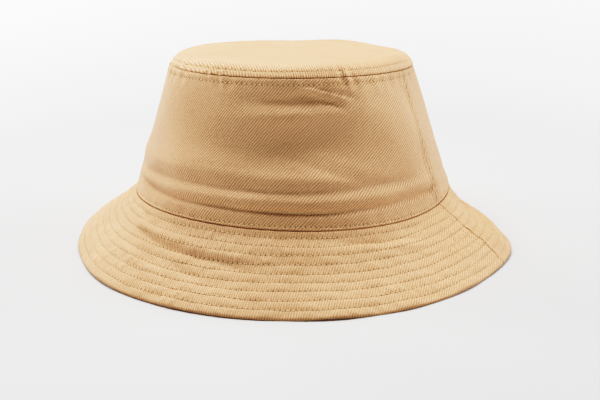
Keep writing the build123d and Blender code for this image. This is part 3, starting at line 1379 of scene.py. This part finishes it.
@dataclass
class Sewing:
    """Rows of stitches along paths, made by one Geometry Nodes tree.

    Attributes:
        thread: the thread's material.
        width: width of the thread.
        arch: how far a stitch stands over its row.
        dive: how deep its ends go.
        fill: how much of the pitch a stitch shows.
        unevenness: how far a stitch strays in size and direction, as a share.
        tree: the Geometry Nodes tree.
        sockets: identifiers of its inputs, by their names.
    """

    thread: bpy.types.Material
    width: float = 0.42 * MM
    arch: float = 0.16 * MM
    dive: float = 0.18 * MM
    fill: float = 0.68
    unevenness: float = 0.07
    tree: bpy.types.GeometryNodeTree = field(init=False)
    sockets: dict[str, str] = field(init=False)

    def __post_init__(self) -> None:
        """Build the tree and note its inputs' identifiers."""
        self.tree = bpy.data.node_groups.new("stitch_row", "GeometryNodeTree")
        self.sockets = {}
        face = self.tree.interface
        face.new_socket(name="Geometry", in_out="OUTPUT", socket_type="NodeSocketGeometry")
        named = {"Geometry": "Geometry", "Stitches": "Int", "Stitch Length": "Float", "Width": "Float",
                 "Arch": "Float", "Dive": "Float", "Unevenness": "Float", "Seed": "Int", "Thread": "Material"}
        for title, kind in named.items():
            socket = face.new_socket(name=title, in_out="INPUT", socket_type=f"NodeSocket{kind}")
            self.sockets[title] = socket.identifier
        self.wire()

    def stitch(self, nodes: Nodes, given: bpy.types.NodeInputs) -> bpy.types.NodeSocket:
        """Lay out one bowed stitch.

        Args:
            nodes: the tree being filled in.
            given: the tree's inputs.

        Returns:
            The stitch's mesh.
        """
        half, back = (nodes.math("MULTIPLY", given["Stitch Length"], share) for share in (0.5, -0.5))
        deep = nodes.math("MULTIPLY", given["Dive"], -1.0)
        high = nodes.math("MULTIPLY", given["Arch"], 2.0)
        places = ("Start", {"X": back, "Z": deep}), ("Middle", {"Z": high}), ("End", {"X": half, "Z": deep})
        bow = {title: nodes.node("ShaderNodeCombineXYZ", place).outputs[0] for title, place in places}
        bow = nodes.node("GeometryNodeCurveQuadraticBezier", {"Resolution": 6, **bow}).outputs["Curve"]
        radius = nodes.math("MULTIPLY", given["Width"], 0.5)
        ring = nodes.node("GeometryNodeCurvePrimitiveCircle", {"Resolution": 6, "Radius": radius})
        tube = {"Curve": bow, "Profile Curve": ring.outputs["Curve"], "Fill Caps": True}
        return nodes.node("GeometryNodeCurveToMesh", tube).outputs["Mesh"]

    def wire(self) -> None:
        """Lay out the tree: a row of points, a stitch on each, one mesh."""
        nodes = Nodes(self.tree)
        given = nodes.node("NodeGroupInput").outputs
        path = nodes.node("GeometryNodeMeshToCurve", {"Mesh": given["Geometry"]}).outputs["Curve"]
        row = nodes.node("GeometryNodeResampleCurve", {"Curve": path, "Count": given["Stitches"]})
        up = nodes.node("GeometryNodeInputNamedAttribute", {"Name": "face_out"}, data_type="FLOAT_VECTOR")
        jitter = nodes.node("FunctionNodeRandomValue", {0: (-1, -1, -1), 1: (1, 1, 1), "Seed": given["Seed"]},
                            data_type="FLOAT_VECTOR")
        slack = nodes.node("ShaderNodeVectorMath", {0: jitter.outputs[0], "Scale": given["Unevenness"]},
                           operation="SCALE").outputs[0]
        tangent = nodes.node("GeometryNodeInputTangent").outputs[0]
        strayed, size = (nodes.node("ShaderNodeVectorMath", {0: slack, 1: other}, operation="ADD").outputs[0]
                         for other in (tangent, (1, 1, 1)))
        turn = nodes.node("FunctionNodeAxesToRotation", {0: up.outputs["Attribute"], 1: strayed},
                          primary_axis="Z", secondary_axis="X").outputs[0]
        stitches = nodes.node("GeometryNodeInstanceOnPoints", {
            "Points": row.outputs["Curve"], "Instance": self.stitch(nodes, given),
            "Rotation": turn, "Scale": size})
        real = nodes.node("GeometryNodeRealizeInstances", {"Geometry": stitches.outputs["Instances"]})
        smooth = nodes.node("GeometryNodeSetShadeSmooth", {"Geometry": real.outputs["Geometry"]})
        dressed = nodes.node("GeometryNodeSetMaterial", {"Geometry": smooth.outputs["Geometry"],
                                                         "Material": given["Thread"]})
        nodes.node("NodeGroupOutput", {"Geometry": dressed.outputs["Geometry"]})

    def path(self, name: str, runs: list[Run], closed: bool) -> bpy.types.Mesh:
        """Draw the lines that rows of stitches follow.

        Args:
            name: the mesh's name.
            runs: for each row, its points and the directions away from the cloth.
            closed: whether each row comes round to its start.

        Returns:
            A mesh of edges, with the directions stored on its points.
        """
        edges, first = [], 0
        for points, _ in runs:
            numbers = list(range(first, first + len(points)))
            edges.extend(zip(numbers, numbers[1:] + numbers[:1] if closed else numbers[1:]))
            first += len(points)
        path = bpy.data.meshes.new(name)
        path.from_pydata(np.concatenate([points for points, _ in runs]).tolist(), edges, [])
        outs = np.concatenate([out for _, out in runs])
        stored = path.attributes.new("face_out", "FLOAT_VECTOR", "POINT")
        stored.data.foreach_set("vector", outs.astype(np.float32).ravel())
        return path

    def sew(self, node: str, runs: list[Run], closed: bool, count: int, seed: int,
            pitch: float = SEAMS.pitch) -> None:
        """Make and keep one piece of stitches.

        Args:
            node: the CAD node that it stands for.
            runs: for each row, its points and the directions away from the cloth.
            closed: whether each row comes round to its start.
            count: stitches in each row.
            seed: fixes the stitches' unevenness.
            pitch: length of one stitch.
        """
        name = node + "_thread"
        path = self.path(name + "_path", runs, closed)
        carrier = stand(name + "_path", path)
        modifier = carrier.modifiers.new("stitches", "NODES")
        modifier.node_group = self.tree
        values = {"Stitches": count, "Stitch Length": pitch * self.fill, "Width": self.width,
                  "Arch": self.arch, "Dive": self.dive, "Unevenness": self.unevenness, "Seed": seed,
                  "Thread": self.thread}
        for title, value in values.items():
            modifier[self.sockets[title]] = value
        view = bpy.context.evaluated_depsgraph_get()
        mesh = bpy.data.meshes.new_from_object(carrier.evaluated_get(view), depsgraph=view)
        mesh.name = name
        carrier.modifiers.remove(modifier)
        bpy.data.objects.remove(carrier)
        bpy.data.meshes.remove(path)
        keep(stand(name, mesh), HAT, Slot.THREAD, node)


# ---- the hat's sub-assemblies


@dataclass
class SubAssembly:
    """What every sub-assembly is made with.

    Attributes:
        finishes: the hat's materials.
        sewing: makes the stitches.
    """

    finishes: Finishes
    sewing: Sewing

    def lay(self, name: str, cloth: Cloth, material: bpy.types.Material, slot: Slot, held: str = "",
            *rests_on: str) -> None:
        """Args:
            name: the piece's name, which is its CAD node's and the kind of cloth.
            cloth: its grids.
            material: its finish.
            slot: not used.
            held: how a sheet is held.
            rests_on: not used.
        """
        piece = cloth.make(name, material)
        keep(piece, HAT, slot, name.rpartition("_")[0])
        if held:
            cloth.sheet(piece, held, *rests_on)


class Half(Enum):
    """The two halves of the hat, by the angle of their middle."""

    FRONT = 1.5 * math.pi
    BACK = 0.5 * math.pi

    @property
    def end(self) -> str:
        """The half's name in the names of its pieces."""
        return self.name.lower()

    @property
    def ends(self) -> tuple[float, float]:
        """Angles of the half's two side seams."""
        return self.value - math.pi / 2, self.value + math.pi / 2

    def span(self, count: int, opening: float = 0.0017) -> Array:
        """Angles across the half, closer together beside its side seams."""
        start, end = self.ends[0] + opening, self.ends[1] - opening
        return crowded(start, end, count, (start, end), 3.0, 0.045)


@dataclass
class CrownWall(SubAssembly):
    """The crown's two side panels with their seams and tapes.

    Attributes:
        surface: the wall that they lie on.
        cloth: thickness of the twill.
        gap: room between two layers.
        tape: thickness of a tape.
        around: points round a panel.
        up: points up a panel.
        fold: share of the wall where a sharp fold needs a line of points.
        side_rows: heights in the CAD model that the rows beside a side seam run between.
    """

    surface: CrownSurface
    cloth: float = 0.60 * MM
    gap: float = 0.20 * MM
    tape: float = 0.40 * MM
    around: int = 500
    up: int = 84
    fold: float = 0.117
    side_rows: tuple[float, float] = (35.8 * MM, 104.3 * MM)

    @property
    def lined(self) -> float:
        """Depth at which tapes and the sweatband begin."""
        return self.cloth + self.gap

    def share(self, level: float) -> float:
        """Place up the wall of a level in the CAD model."""
        form = self.surface.form
        return (level - form.seam_level) / (form.tip_level - form.seam_level)

    def shares(self, node: str) -> tuple[float, float]:
        """Places up the wall of a CAD node's lowest and highest level."""
        low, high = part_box(node)
        return self.share(low.z), self.share(high.z)

    def panel(self, half: Half) -> Cloth:
        """One side panel.

        Args:
            half: front or back.

        Returns:
            Its cloth.
        """
        surface = self.surface
        levels = (surface.levels["base"], self.fold, surface.levels["tip"])
        ups = snapped(crowded(0.002, 0.996, self.up, (0.0, *levels, 1.0), 3.5, 0.025), levels)
        beside = surface.side_row / surface.radius
        turns = snapped(half.span(self.around), (half.ends[0] + beside, half.ends[1] - beside))
        theta, share = grid(turns, ups)
        return Cloth(surface.face(theta, share), surface.layer(theta, share, -self.cloth),
                     surface.developed(theta, share, half.value, surface.form.tip), False,
                     *surface.stitches(theta, share), surface.shade(theta, share))

    def band(self, thetas: Array, shares: tuple[float, float], thick: float, closed: bool, ups: int,
             slack: float = 0.0) -> Cloth:
        """A strip of tape inside the wall.

        Args:
            thetas: angles along it.
            shares: places of its two edges up the wall.
            thick: its thickness.
            closed: whether it comes round to its start.
            ups: points across it.
            slack: how far its free edge strays inwards.

        Returns:
            The strip.
        """
        low, high = shares
        theta, share = grid(thetas, np.linspace(low, high, ups))
        loose = (share - low) / (high - low)
        stray = slack * loose * (0.5 + 0.5 * Ripple(91, 3, 11, 8, 0.5).at(theta, share) ** 2)
        thinned = 0.3 * thick * (1 - np.sqrt(1 - np.abs(2 * loose - 1) ** 8))
        face = self.surface.layer(theta, share, -self.lined - stray - thinned)
        back = self.surface.layer(theta, share, -self.lined - thick - stray + thinned)
        flat = np.stack([theta * sum(self.surface.form.base) / 2, share * self.surface.slant], -1)
        return Cloth(face, back, flat, closed)

    def topstitch(self, inner: float) -> None:
        """Sew the rows round the wall's two ends and beside its side seams.

        Args:
            inner: depth of the sweatband's inner face.
        """
        surface, taped = self.surface, self.lined + self.tape
        rings = (("crown_base_topstitch", "base", inner), ("tip_topstitch_lower", "tip", taped))
        for seed, (node, end, depth) in enumerate(rings, 100):
            turns = surface.rows[end].middles()
            runs = surface.row(turns, 0 * turns + surface.levels[end], depth)
            self.sewing.sew(node, runs, True, surface.rows[end].count, seed)
        shares = np.linspace(*(self.share(level) for level in self.side_rows), 120)
        count = round((shares[-1] - shares[0]) * surface.slant / SEAMS.pitch)
        beside = surface.side_row / surface.radius
        for seed, (side, centre) in enumerate(SIDE_SEAMS.items(), 110):
            runs = []
            for theta in (centre - beside, centre + beside):
                runs.extend(surface.row(0 * shares + theta, shares, taped + 0.03 * MM))
            self.sewing.sew(f"side_seam_topstitch_{side}", runs, False, count, seed)

    def build(self, inner: float) -> None:
        """Make the panels, the tapes and the rows.

        Args:
            inner: depth of the sweatband's inner face.
        """
        for half in Half:
            self.lay(f"crown_side_{half.end}_cloth", self.panel(half), self.finishes.crown, Slot.TWILL,
                     "stretched", "crown_tip_cloth", f"brim_upper_{half.end}_cloth")
        tapes = {"tip_seam_tape": self.band(TURN[::4], self.shares("tip_seam_tape"), self.tape, True, 8)}
        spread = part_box("side_seam_tape_left")[1].y / sum(self.surface.form.base) * 2
        for side, centre in SIDE_SEAMS.items():
            thetas = np.linspace(centre - spread, centre + spread, 12)
            shares = self.shares("side_seam_tape_left")
            tapes[f"side_seam_tape_{side}"] = self.band(thetas, shares, self.tape, False, 60)
        for node, band in tapes.items():
            self.lay(node + "_ribbon", band, self.finishes.tape, Slot.TAPE)
        self.topstitch(inner)


@dataclass
class CrownTip(SubAssembly):
    """The oval top of the crown.

    Attributes:
        surface: the dome that it lies on.
        cloth: thickness of the twill.
        around: points round it.
        inward: points from its seam to its middle.
    """

    surface: TipSurface
    cloth: float = 0.60 * MM
    around: int = 640
    inward: int = 66

    def panel(self) -> Cloth:
        """The cloth, with a small hole at its middle.

        Returns:
            Its face and back; the grid is round at the middle and follows the seam further out.
        """
        surface = self.surface
        narrow = min(surface.form.tip)
        thetas = np.linspace(0, FULL_TURN, self.around, endpoint=False)
        shares = crowded(0.010, 0.9985, self.inward, (0.970, 1.0), 9.0, 0.04)
        theta, share = grid(thetas, snapped(shares, (1 - surface.line_gap / narrow,))[::-1])
        outer = np.clip((share - 0.3) / 0.5, 0, 1)
        share = 1 - (1 - share) * (1 + outer * (narrow / surface.reach(theta) - 1))
        face = surface.face(theta, share)
        return Cloth(face, surface.layer(theta, share, -self.cloth), face[..., :2].copy(), True,
                     *surface.stitches(theta, share), surface.shade(theta, share))

    def close_pole(self, piece: bpy.types.Object) -> None:
        """Close the small holes at the middle of the face and of the back with one point each.

        Args:
            piece: the cloth.
        """
        size = self.around * self.inward
        mesh = bmesh.new()
        mesh.from_mesh(piece.data)
        walls = [face for face in mesh.faces if len({v.index // size for v in face.verts}) == 2]
        pole = [face for face in walls if face.calc_center_median().xy.length < 5 * MM]
        bmesh.ops.delete(mesh, geom=pole, context="FACES_ONLY")
        rims = [edge for edge in mesh.edges if edge.is_boundary]
        flat = mesh.loops.layers.uv["flat"]
        stored = [mesh.verts.layers.float[name] for name in ("stitch_gap", "stitch_phase", "seam_shade")]
        for top in (True, False):
            rim = [edge for edge in rims if (edge.verts[0].index < size) == top]
            corners = {v for edge in rim for v in edge.verts}
            middle = mesh.verts.new(sum((v.co for v in corners), Vector()) / len(corners))
            for layer, value in zip(stored, (Cloth.gap, Cloth.phase, Cloth.shade)):
                middle[layer] = value
            for edge in rim:
                loop = edge.link_loops[0]
                face = mesh.faces.new((loop.link_loop_next.vert, loop.vert, middle))
                face.smooth = True
                for corner in face.loops:
                    corner[flat].uv = corner.vert.co.xy
        mesh.to_mesh(piece.data)
        mesh.free()

    def build(self) -> None:
        """Make the cloth and its topstitch."""
        piece = self.panel().make("crown_tip_cloth", self.finishes.tip)
        self.close_pole(piece)
        keep(piece, HAT, Slot.TWILL, "crown_tip")
        ring = self.surface.ring
        turns = ring.middles()
        runs = self.surface.row(turns, self.surface.line(turns), self.cloth)
        self.sewing.sew("tip_topstitch_upper", runs, True, ring.count, 120)


@dataclass
class Brim(SubAssembly):
    """The quilted brim: two upper and two under panels, their interlining and nine rows of stitches.

    Attributes:
        surface: the brim's middle.
        core: half thickness of the interlining.
        room: half the room that the cloth leaves for it.
        points: points round and across an upper panel.
        under_points: points round and across an under panel.
        core_points: points round and across the interlining.
    """

    surface: BrimSurface
    core: float = 0.14 * MM
    room: float = 0.20 * MM
    points: tuple[int, int] = (640, 66)
    under_points: tuple[int, int] = (480, 58)
    core_points: tuple[int, int] = (320, 72)

    def panel(self, half: Half, under: bool) -> Cloth:
        """An upper or under panel.

        Args:
            half: front or back.
            under: whether it is the under cloth.

        Returns:
            Its cloth.
        """
        surface = self.surface
        around, across = self.under_points if under else self.points
        lines = tuple(surface.lines)
        shares = snapped(crowded(0.0018, 1.0, across, (0.0, 1.0, *lines), 0.8, 0.012), lines)[::-1]
        theta, share = grid(half.span(around), shares)
        held = np.clip(np.minimum(share, 1 - share) / 0.03, 0, 1)
        share = share + held * surface.stray(theta, share)
        height = surface.relief(theta, share, under)
        hollow = np.minimum(self.room + 0.8 * surface.swell(theta, share), height - 0.04 * MM)
        hollow = np.clip(hollow, 0.02 * MM, None) * surface.edge_fade(share)
        levels = (-hollow, -height) if under else (height, hollow)
        face, back = (surface.layer(theta, share, level) for level in levels)
        return Cloth(face, back, surface.developed(theta, share, half.value, surface.form.edge), False,
                     *surface.stitches(theta, share), surface.shade(theta, share))

    def felt(self, half: Half) -> Cloth:
        """The interlining of one half.

        Args:
            half: front or back.

        Returns:
            Its felt.
        """
        around, across = self.core_points
        theta, share = grid(half.span(around), np.linspace(0.03, 0.96, across))
        face, back = (self.surface.layer(theta, share, level) for level in (self.core, -self.core))
        return Cloth(face, back, self.surface.developed(theta, share, half.value, self.surface.form.edge))

    def build(self) -> None:
        """Make the panels, the interlining and the rows."""
        for half in Half:
            felt = f"brim_interlining_{half.end}_felt"
            twill = self.finishes.brim if half is Half.FRONT else self.finishes.brim_back
            for side in ("upper", "under"):
                cloth = self.panel(half, side == "under")
                self.lay(f"brim_{side}_{half.end}_cloth", cloth, twill, Slot.TWILL, "stretched", felt)
            self.lay(felt, self.felt(half), self.finishes.interlining, Slot.INTERLINING, "stretched",
                     f"brim_under_{half.end}_cloth")
        for number, row in enumerate(self.surface.rows):
            turns = row.middles()
            shares = self.surface.line(turns, number)
            runs = self.surface.row(turns, shares, self.surface.relief(turns, shares, True) + ROW_LIFT)
            self.sewing.sew(f"brim_stitch_row_{number + 1}", runs, True, row.count, 130 + number)


@dataclass
class Lining(SubAssembly):
    """The sweatband and the two labels inside the crown.

    Attributes:
        wall: the crown's wall that they line.
        band: thickness of the sweatband.
        label: thickness of the label cloth.
        join: half the opening where the sweatband's ends meet.
        slack: how far the band's free edge strays inwards.
        stitch: pitch of the labels' stitches.
        label_gap: distance from the band to the labels' stitched parts.
    """

    wall: CrownWall
    band: float = 0.50 * MM
    label: float = 0.22 * MM
    join: float = 0.45 * MM
    slack: float = 0.5 * MM
    stitch: float = 2.2 * MM
    label_gap: float = 0.42 * MM

    @property
    def inner(self) -> float:
        """Depth of the sweatband's inner face."""
        return self.wall.lined + self.band + 0.03 * MM

    def angle(self, theta: float, reach: float, share: float, step: float = 0.01) -> float:
        """Turn that spans a distance round the wall, from an angle on one of its axes."""
        ends = self.wall.surface.base(np.array([theta, theta + step]), np.array([share, share]))
        return reach * step / float(np.linalg.norm(ends[1] - ends[0]))

    def inside(self, theta: Array, share: Array, depth: float) -> Run:
        """A row of stitches on the inside, with its directions away from the wall."""
        surface = self.wall.surface
        return surface.layer(theta, share, -depth), -surface.normal(theta, share)

    def sweatband(self) -> None:
        """Make the band and the stitches across its join."""
        shares = self.wall.shares("sweatband")
        opening = self.angle(BACK, self.join, shares[0])
        thetas = np.linspace(BACK + opening, BACK + FULL_TURN - opening, 480)
        band = self.wall.band(thetas, shares, self.band, False, 18, self.slack)
        self.lay("sweatband_tape", band, self.finishes.tape, Slot.TAPE, "stretched", "crown_side_front_cloth",
                 "crown_side_back_cloth")
        ups = np.linspace(*self.wall.shares("sweatband_join_stitch"), 12)
        turn = self.angle(BACK, 1.3 * MM, shares[1])
        sides = (BACK - turn, BACK + turn)
        runs = [self.inside(0 * ups + theta, ups, self.inner + 0.3 * MM) for theta in sides]
        self.sewing.sew("sweatband_join_stitch", runs, False, 4, 140, 1.1 * MM)

    def main_label(self) -> None:
        """Make the blank woven label and the stitches round it."""
        surface, half = self.wall.surface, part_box("main_label")[1].x
        low, high = self.wall.shares("main_label")
        turn = self.angle(BACK, half, (low + high) / 2)
        theta, share = grid(np.linspace(BACK - turn, BACK + turn, 60), np.linspace(low, high, 24))
        depth = self.inner + self.label_gap
        face, back = (surface.layer(theta, share, -level) for level in (depth, depth + self.label))
        label = Cloth(face, back, np.stack([theta * half / turn, share * surface.slant], -1))
        self.lay("main_label_satin", label, self.finishes.label, Slot.LABEL, "laid", "sweatband_tape")
        low, high = self.wall.shares("main_label_stitch")
        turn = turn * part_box("main_label_stitch")[1].x / half
        left, right = BACK - turn, BACK + turn
        corners = [(left, low), (right, low), (right, high), (left, high), (left, low)]
        route = np.concatenate([np.linspace(a, b, 40, endpoint=False) for a, b in zip(corners, corners[1:])])
        run = self.inside(*route.T, depth + self.label + 0.03 * MM)
        count = round(arc_length(np.concatenate([run[0], run[0][:1]]))[-1] / self.stitch)
        self.sewing.sew("main_label_stitch", [run], True, count, 150, self.stitch)

    def strip(self) -> Cloth:
        """The care label: a strip folded in two that hangs from its root.

        Returns:
            Its cloth.
        """
        low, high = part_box("care_label")
        drop = high.z - low.z
        spread = (high.x - low.x) / 2 - self.label / 2
        down = np.linspace(0, drop - spread, 34)
        bend = np.linspace(0, math.pi, 9)[1:-1]
        outer = np.stack([spread * np.clip(down / (4 * MM), 0.15, 1), -down], -1)
        fold = np.stack([spread * np.cos(bend), -(drop - spread) - spread * np.sin(bend)], -1)
        path = np.concatenate([outer, fold, outer[::-1] * (-1, 1)])
        aside = np.gradient(path, axis=0)
        aside = unit(np.stack([aside[:, 1], -aside[:, 0]], -1))
        across = np.linspace(low.y, high.y, 16)
        curl = 0.5 * MM * (across / high.y) ** 2
        hang = np.clip(-path[:, 1] / drop, 0, 1)[:, None]
        layers = []
        for offset in (0.5, -0.5):
            place = path + aside * offset * self.label
            x = (low.x + high.x) / 2 + place[:, :1] - curl[None] * hang + 0.4 * MM * hang**2
            z = high.z + place[:, 1:] + 0 * across[None]
            layers.append(np.stack([x, across[None] + 0 * x, np.minimum(z, high.z)], -1))
        return Cloth(*layers, np.stack(grid(arc_length(path), across), -1))

    def care_label(self) -> None:
        """Make the care label, which swings at its root, and the stitches that hold it."""
        label = self.strip()
        piece = label.make("care_label_satin", self.finishes.label)
        self.turn_out(piece)
        keep(piece, LABEL_BODY, Slot.LABEL, "care_label")
        label.sheet(piece, "hung", "sweatband_tape")
        share = sum(self.wall.shares("care_label_stitch")) / 2
        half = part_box("care_label_stitch")[1].y
        turn = self.angle(0.0, half, share)
        thetas = np.linspace(-turn, turn, 30)
        run = self.inside(thetas, 0 * thetas + share, self.inner + self.label_gap)
        self.sewing.sew("care_label_stitch", [run], False, round(2 * half / self.stitch), 151, self.stitch)

    def turn_out(self, piece: bpy.types.Object) -> None:
        """Point the faces of a closed strip outwards.

        Args:
            piece: the strip.
        """
        mesh = bmesh.new()
        mesh.from_mesh(piece.data)
        bmesh.ops.recalc_face_normals(mesh, faces=mesh.faces)
        mesh.to_mesh(piece.data)
        mesh.free()

    def build(self) -> None:
        """Make the sweatband and both labels."""
        for make in (self.sweatband, self.main_label, self.care_label):
            make()


# ---- the studio


@dataclass(frozen=True)
class Softbox:
    """A soft light that looks at the hat.

    Attributes:
        name: the light's name.
        turn: its angle from the camera, to the camera's right, in degrees.
        height: its elevation, in degrees.
        distance: how far off it stands.
        size: its width and height.
        power: its power in watts.
    """

    name: str
    turn: float
    height: float
    distance: float
    size: tuple[float, float]
    power: float


@dataclass
class Studio:
    """A pale floor, soft lights and the camera.

    Attributes:
        target: point that the camera looks at.
        azimuth: the camera's angle from the hat's front, in degrees.
        elevation: the camera's height, in degrees.
        distance: the camera's distance from the target.
        lens: focal length on a 36 mm sensor.
        shift: the frame's shift, as shares of its width.
        ambient: strength of the light from all round.
        floor_reach: distance from the floor's middle to its edges.
        floor_grey: brightness of the floor's colour.
        glow: the floor's own light, which keeps its far end pale.
        glow_span: distances from the middle between which that light grows.
        white: brightness at which the picture turns white.
        toe: how steeply the picture falls into its shadows.
        curve: shares of white at which the picture's curve is fixed.
        boxes: the soft lights.
    """

    target: tuple[float, float, float] = (0.0, 0.0, 41.2 * MM)
    azimuth: float = 25.63
    elevation: float = 16.75
    distance: float = 698.6 * MM
    lens: float = 70.27
    shift: tuple[float, float] = (0.0095, -0.0562)
    ambient: float = 0.02
    floor_reach: float = 4.0
    floor_grey: float = 0.60
    glow: float = 1.8
    glow_span: tuple[float, float] = (0.30, 1.00)
    white: float = 4.04
    toe: float = 1.66
    curve: tuple[float, ...] = (0.03, 0.07, 0.12, 0.18, 0.25, 0.34, 0.46, 0.62, 0.80)
    boxes: tuple[Softbox, ...] = (
        Softbox("underneath", 0, -88, 0.8, (0.4, 0.4), 2.5),
        Softbox("overhead", 0, 88, 1.2, (0.5, 0.4), 5.5),
        Softbox("over_behind", 180, 72, 1.2, (0.5, 0.4), 15.0),
        Softbox("over_left", -90, 68, 1.2, (0.5, 0.4), 15.5),
        Softbox("over_right", 90, 68, 1.2, (0.5, 0.4), 8.5),
        Softbox("left", -106, 28, 1.2, (0.4, 0.6), 9.5),
        Softbox("left_front", -75, 20, 1.2, (0.4, 0.6), 2.4),
        Softbox("right", 104, 28, 1.2, (0.4, 0.6), 11.5),
        Softbox("right_front", 75, 22, 1.2, (0.4, 0.6), 3.0),
        Softbox("behind_left", -145, 26, 1.3, (0.5, 0.4), 7.0),
    )

    def place(self, thing: bpy.types.Object, turn: float, height: float, distance: float) -> None:
        """Stand a thing round the target, looking at it.

        Args:
            thing: a light or the camera.
            turn: its angle from the camera, in degrees.
            height: its elevation, in degrees.
            distance: how far off it stands.
        """
        azimuth, up = math.radians(self.azimuth + turn), math.radians(height)
        reach = Vector((math.sin(azimuth) * math.cos(up), -math.cos(azimuth) * math.cos(up), math.sin(up)))
        thing.location = Vector(self.target) + reach * distance
        thing.rotation_euler = (Vector(self.target) - thing.location).to_track_quat("-Z", "Y").to_euler()
        bpy.context.scene.collection.objects.link(thing)

    def floor(self) -> None:
        """Lay the floor, which is clear from below and lets the light underneath through."""
        sheet = NodeSheet("pale_floor")
        sheet.dial(Base_Color=(*(self.floor_grey,) * 3, 1), Roughness=0.9, Emission_Color=(1, 1, 1, 1),
                   Specular_IOR_Level=0.1)
        away = sheet.node("ShaderNodeVectorMath", {0: sheet.place()}, operation="LENGTH").outputs["Value"]
        glow = sheet.spread(away, 0.0, self.glow, *self.glow_span)
        sheet.tree.links.new(glow, sheet.shader.inputs["Emission Strength"])
        below = sheet.node("ShaderNodeNewGeometry").outputs["Backfacing"]
        below = sheet.math("MAXIMUM", below, sheet.node("ShaderNodeLightPath").outputs["Is Shadow Ray"])
        clear = sheet.node("ShaderNodeBsdfTransparent").outputs[0]
        seen = sheet.node("ShaderNodeMixShader", {0: below, 1: sheet.shader.outputs[0], 2: clear}).outputs[0]
        sheet.tree.links.new(seen, sheet.tree.nodes["Material Output"].inputs["Surface"])
        reach = self.floor_reach
        corners = [(-reach, -reach, 0), (reach, -reach, 0), (reach, reach, 0), (-reach, reach, 0)]
        mesh = bpy.data.meshes.new("floor")
        mesh.from_pydata(corners, [], [(0, 1, 2, 3)])
        mesh.materials.append(sheet.material)
        stand("floor", mesh)

    def build(self) -> None:
        """Set up the floor, the lights, the world and the camera."""
        scene = bpy.context.scene
        self.floor()
        for box in self.boxes:
            light = bpy.data.lights.new(box.name, "AREA")
            light.shape = "RECTANGLE"
            light.size, light.size_y = box.size
            light.energy = box.power
            self.place(bpy.data.objects.new(box.name, light), box.turn, box.height, box.distance)
        scene.world = bpy.data.worlds.new("studio")
        scene.world.use_nodes = True
        background = scene.world.node_tree.nodes["Background"]
        background.inputs["Color"].default_value = (1, 1, 1, 1)
        background.inputs["Strength"].default_value = self.ambient
        lens = bpy.data.cameras.new("camera")
        lens.lens, lens.sensor_width = self.lens, 36.0
        lens.shift_x, lens.shift_y = self.shift
        scene.camera = bpy.data.objects.new("camera", lens)
        self.place(scene.camera, 0, self.elevation, self.distance)
        self.develop(scene.view_settings)

    def develop(self, settings: bpy.types.ColorManagedViewSettings) -> None:
        """Bend the picture's brightness as film does, soft at both ends.

        Args:
            settings: the scene's view settings.
        """
        settings.view_transform = "Standard"
        settings.use_curve_mapping = True
        mapping = settings.curve_mapping
        mapping.white_level = (self.white,) * 3
        most = self.white**self.toe
        for share in self.curve:
            exposed = (share * self.white) ** self.toe
            mapping.curves[3].points.new(share, exposed / (exposed + 1) * (most + 1) / most)
        mapping.update()


def main() -> None:
    """Build the studio and the hat."""
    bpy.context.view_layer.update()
    logging.basicConfig(level=logging.INFO, format="%(name)s %(message)s")
    Studio().build()
    form = HatForm()
    finishes = Finishes()
    sewing = Sewing(finishes.thread)
    wall = CrownWall(finishes, sewing, CrownSurface(form))
    lining = Lining(finishes, sewing, wall)
    wall.build(lining.inner)
    CrownTip(finishes, sewing, TipSurface(form)).build()
    Brim(finishes, sewing, BrimSurface(form)).build()
    lining.build()


if __name__ == "__main__":
    main()
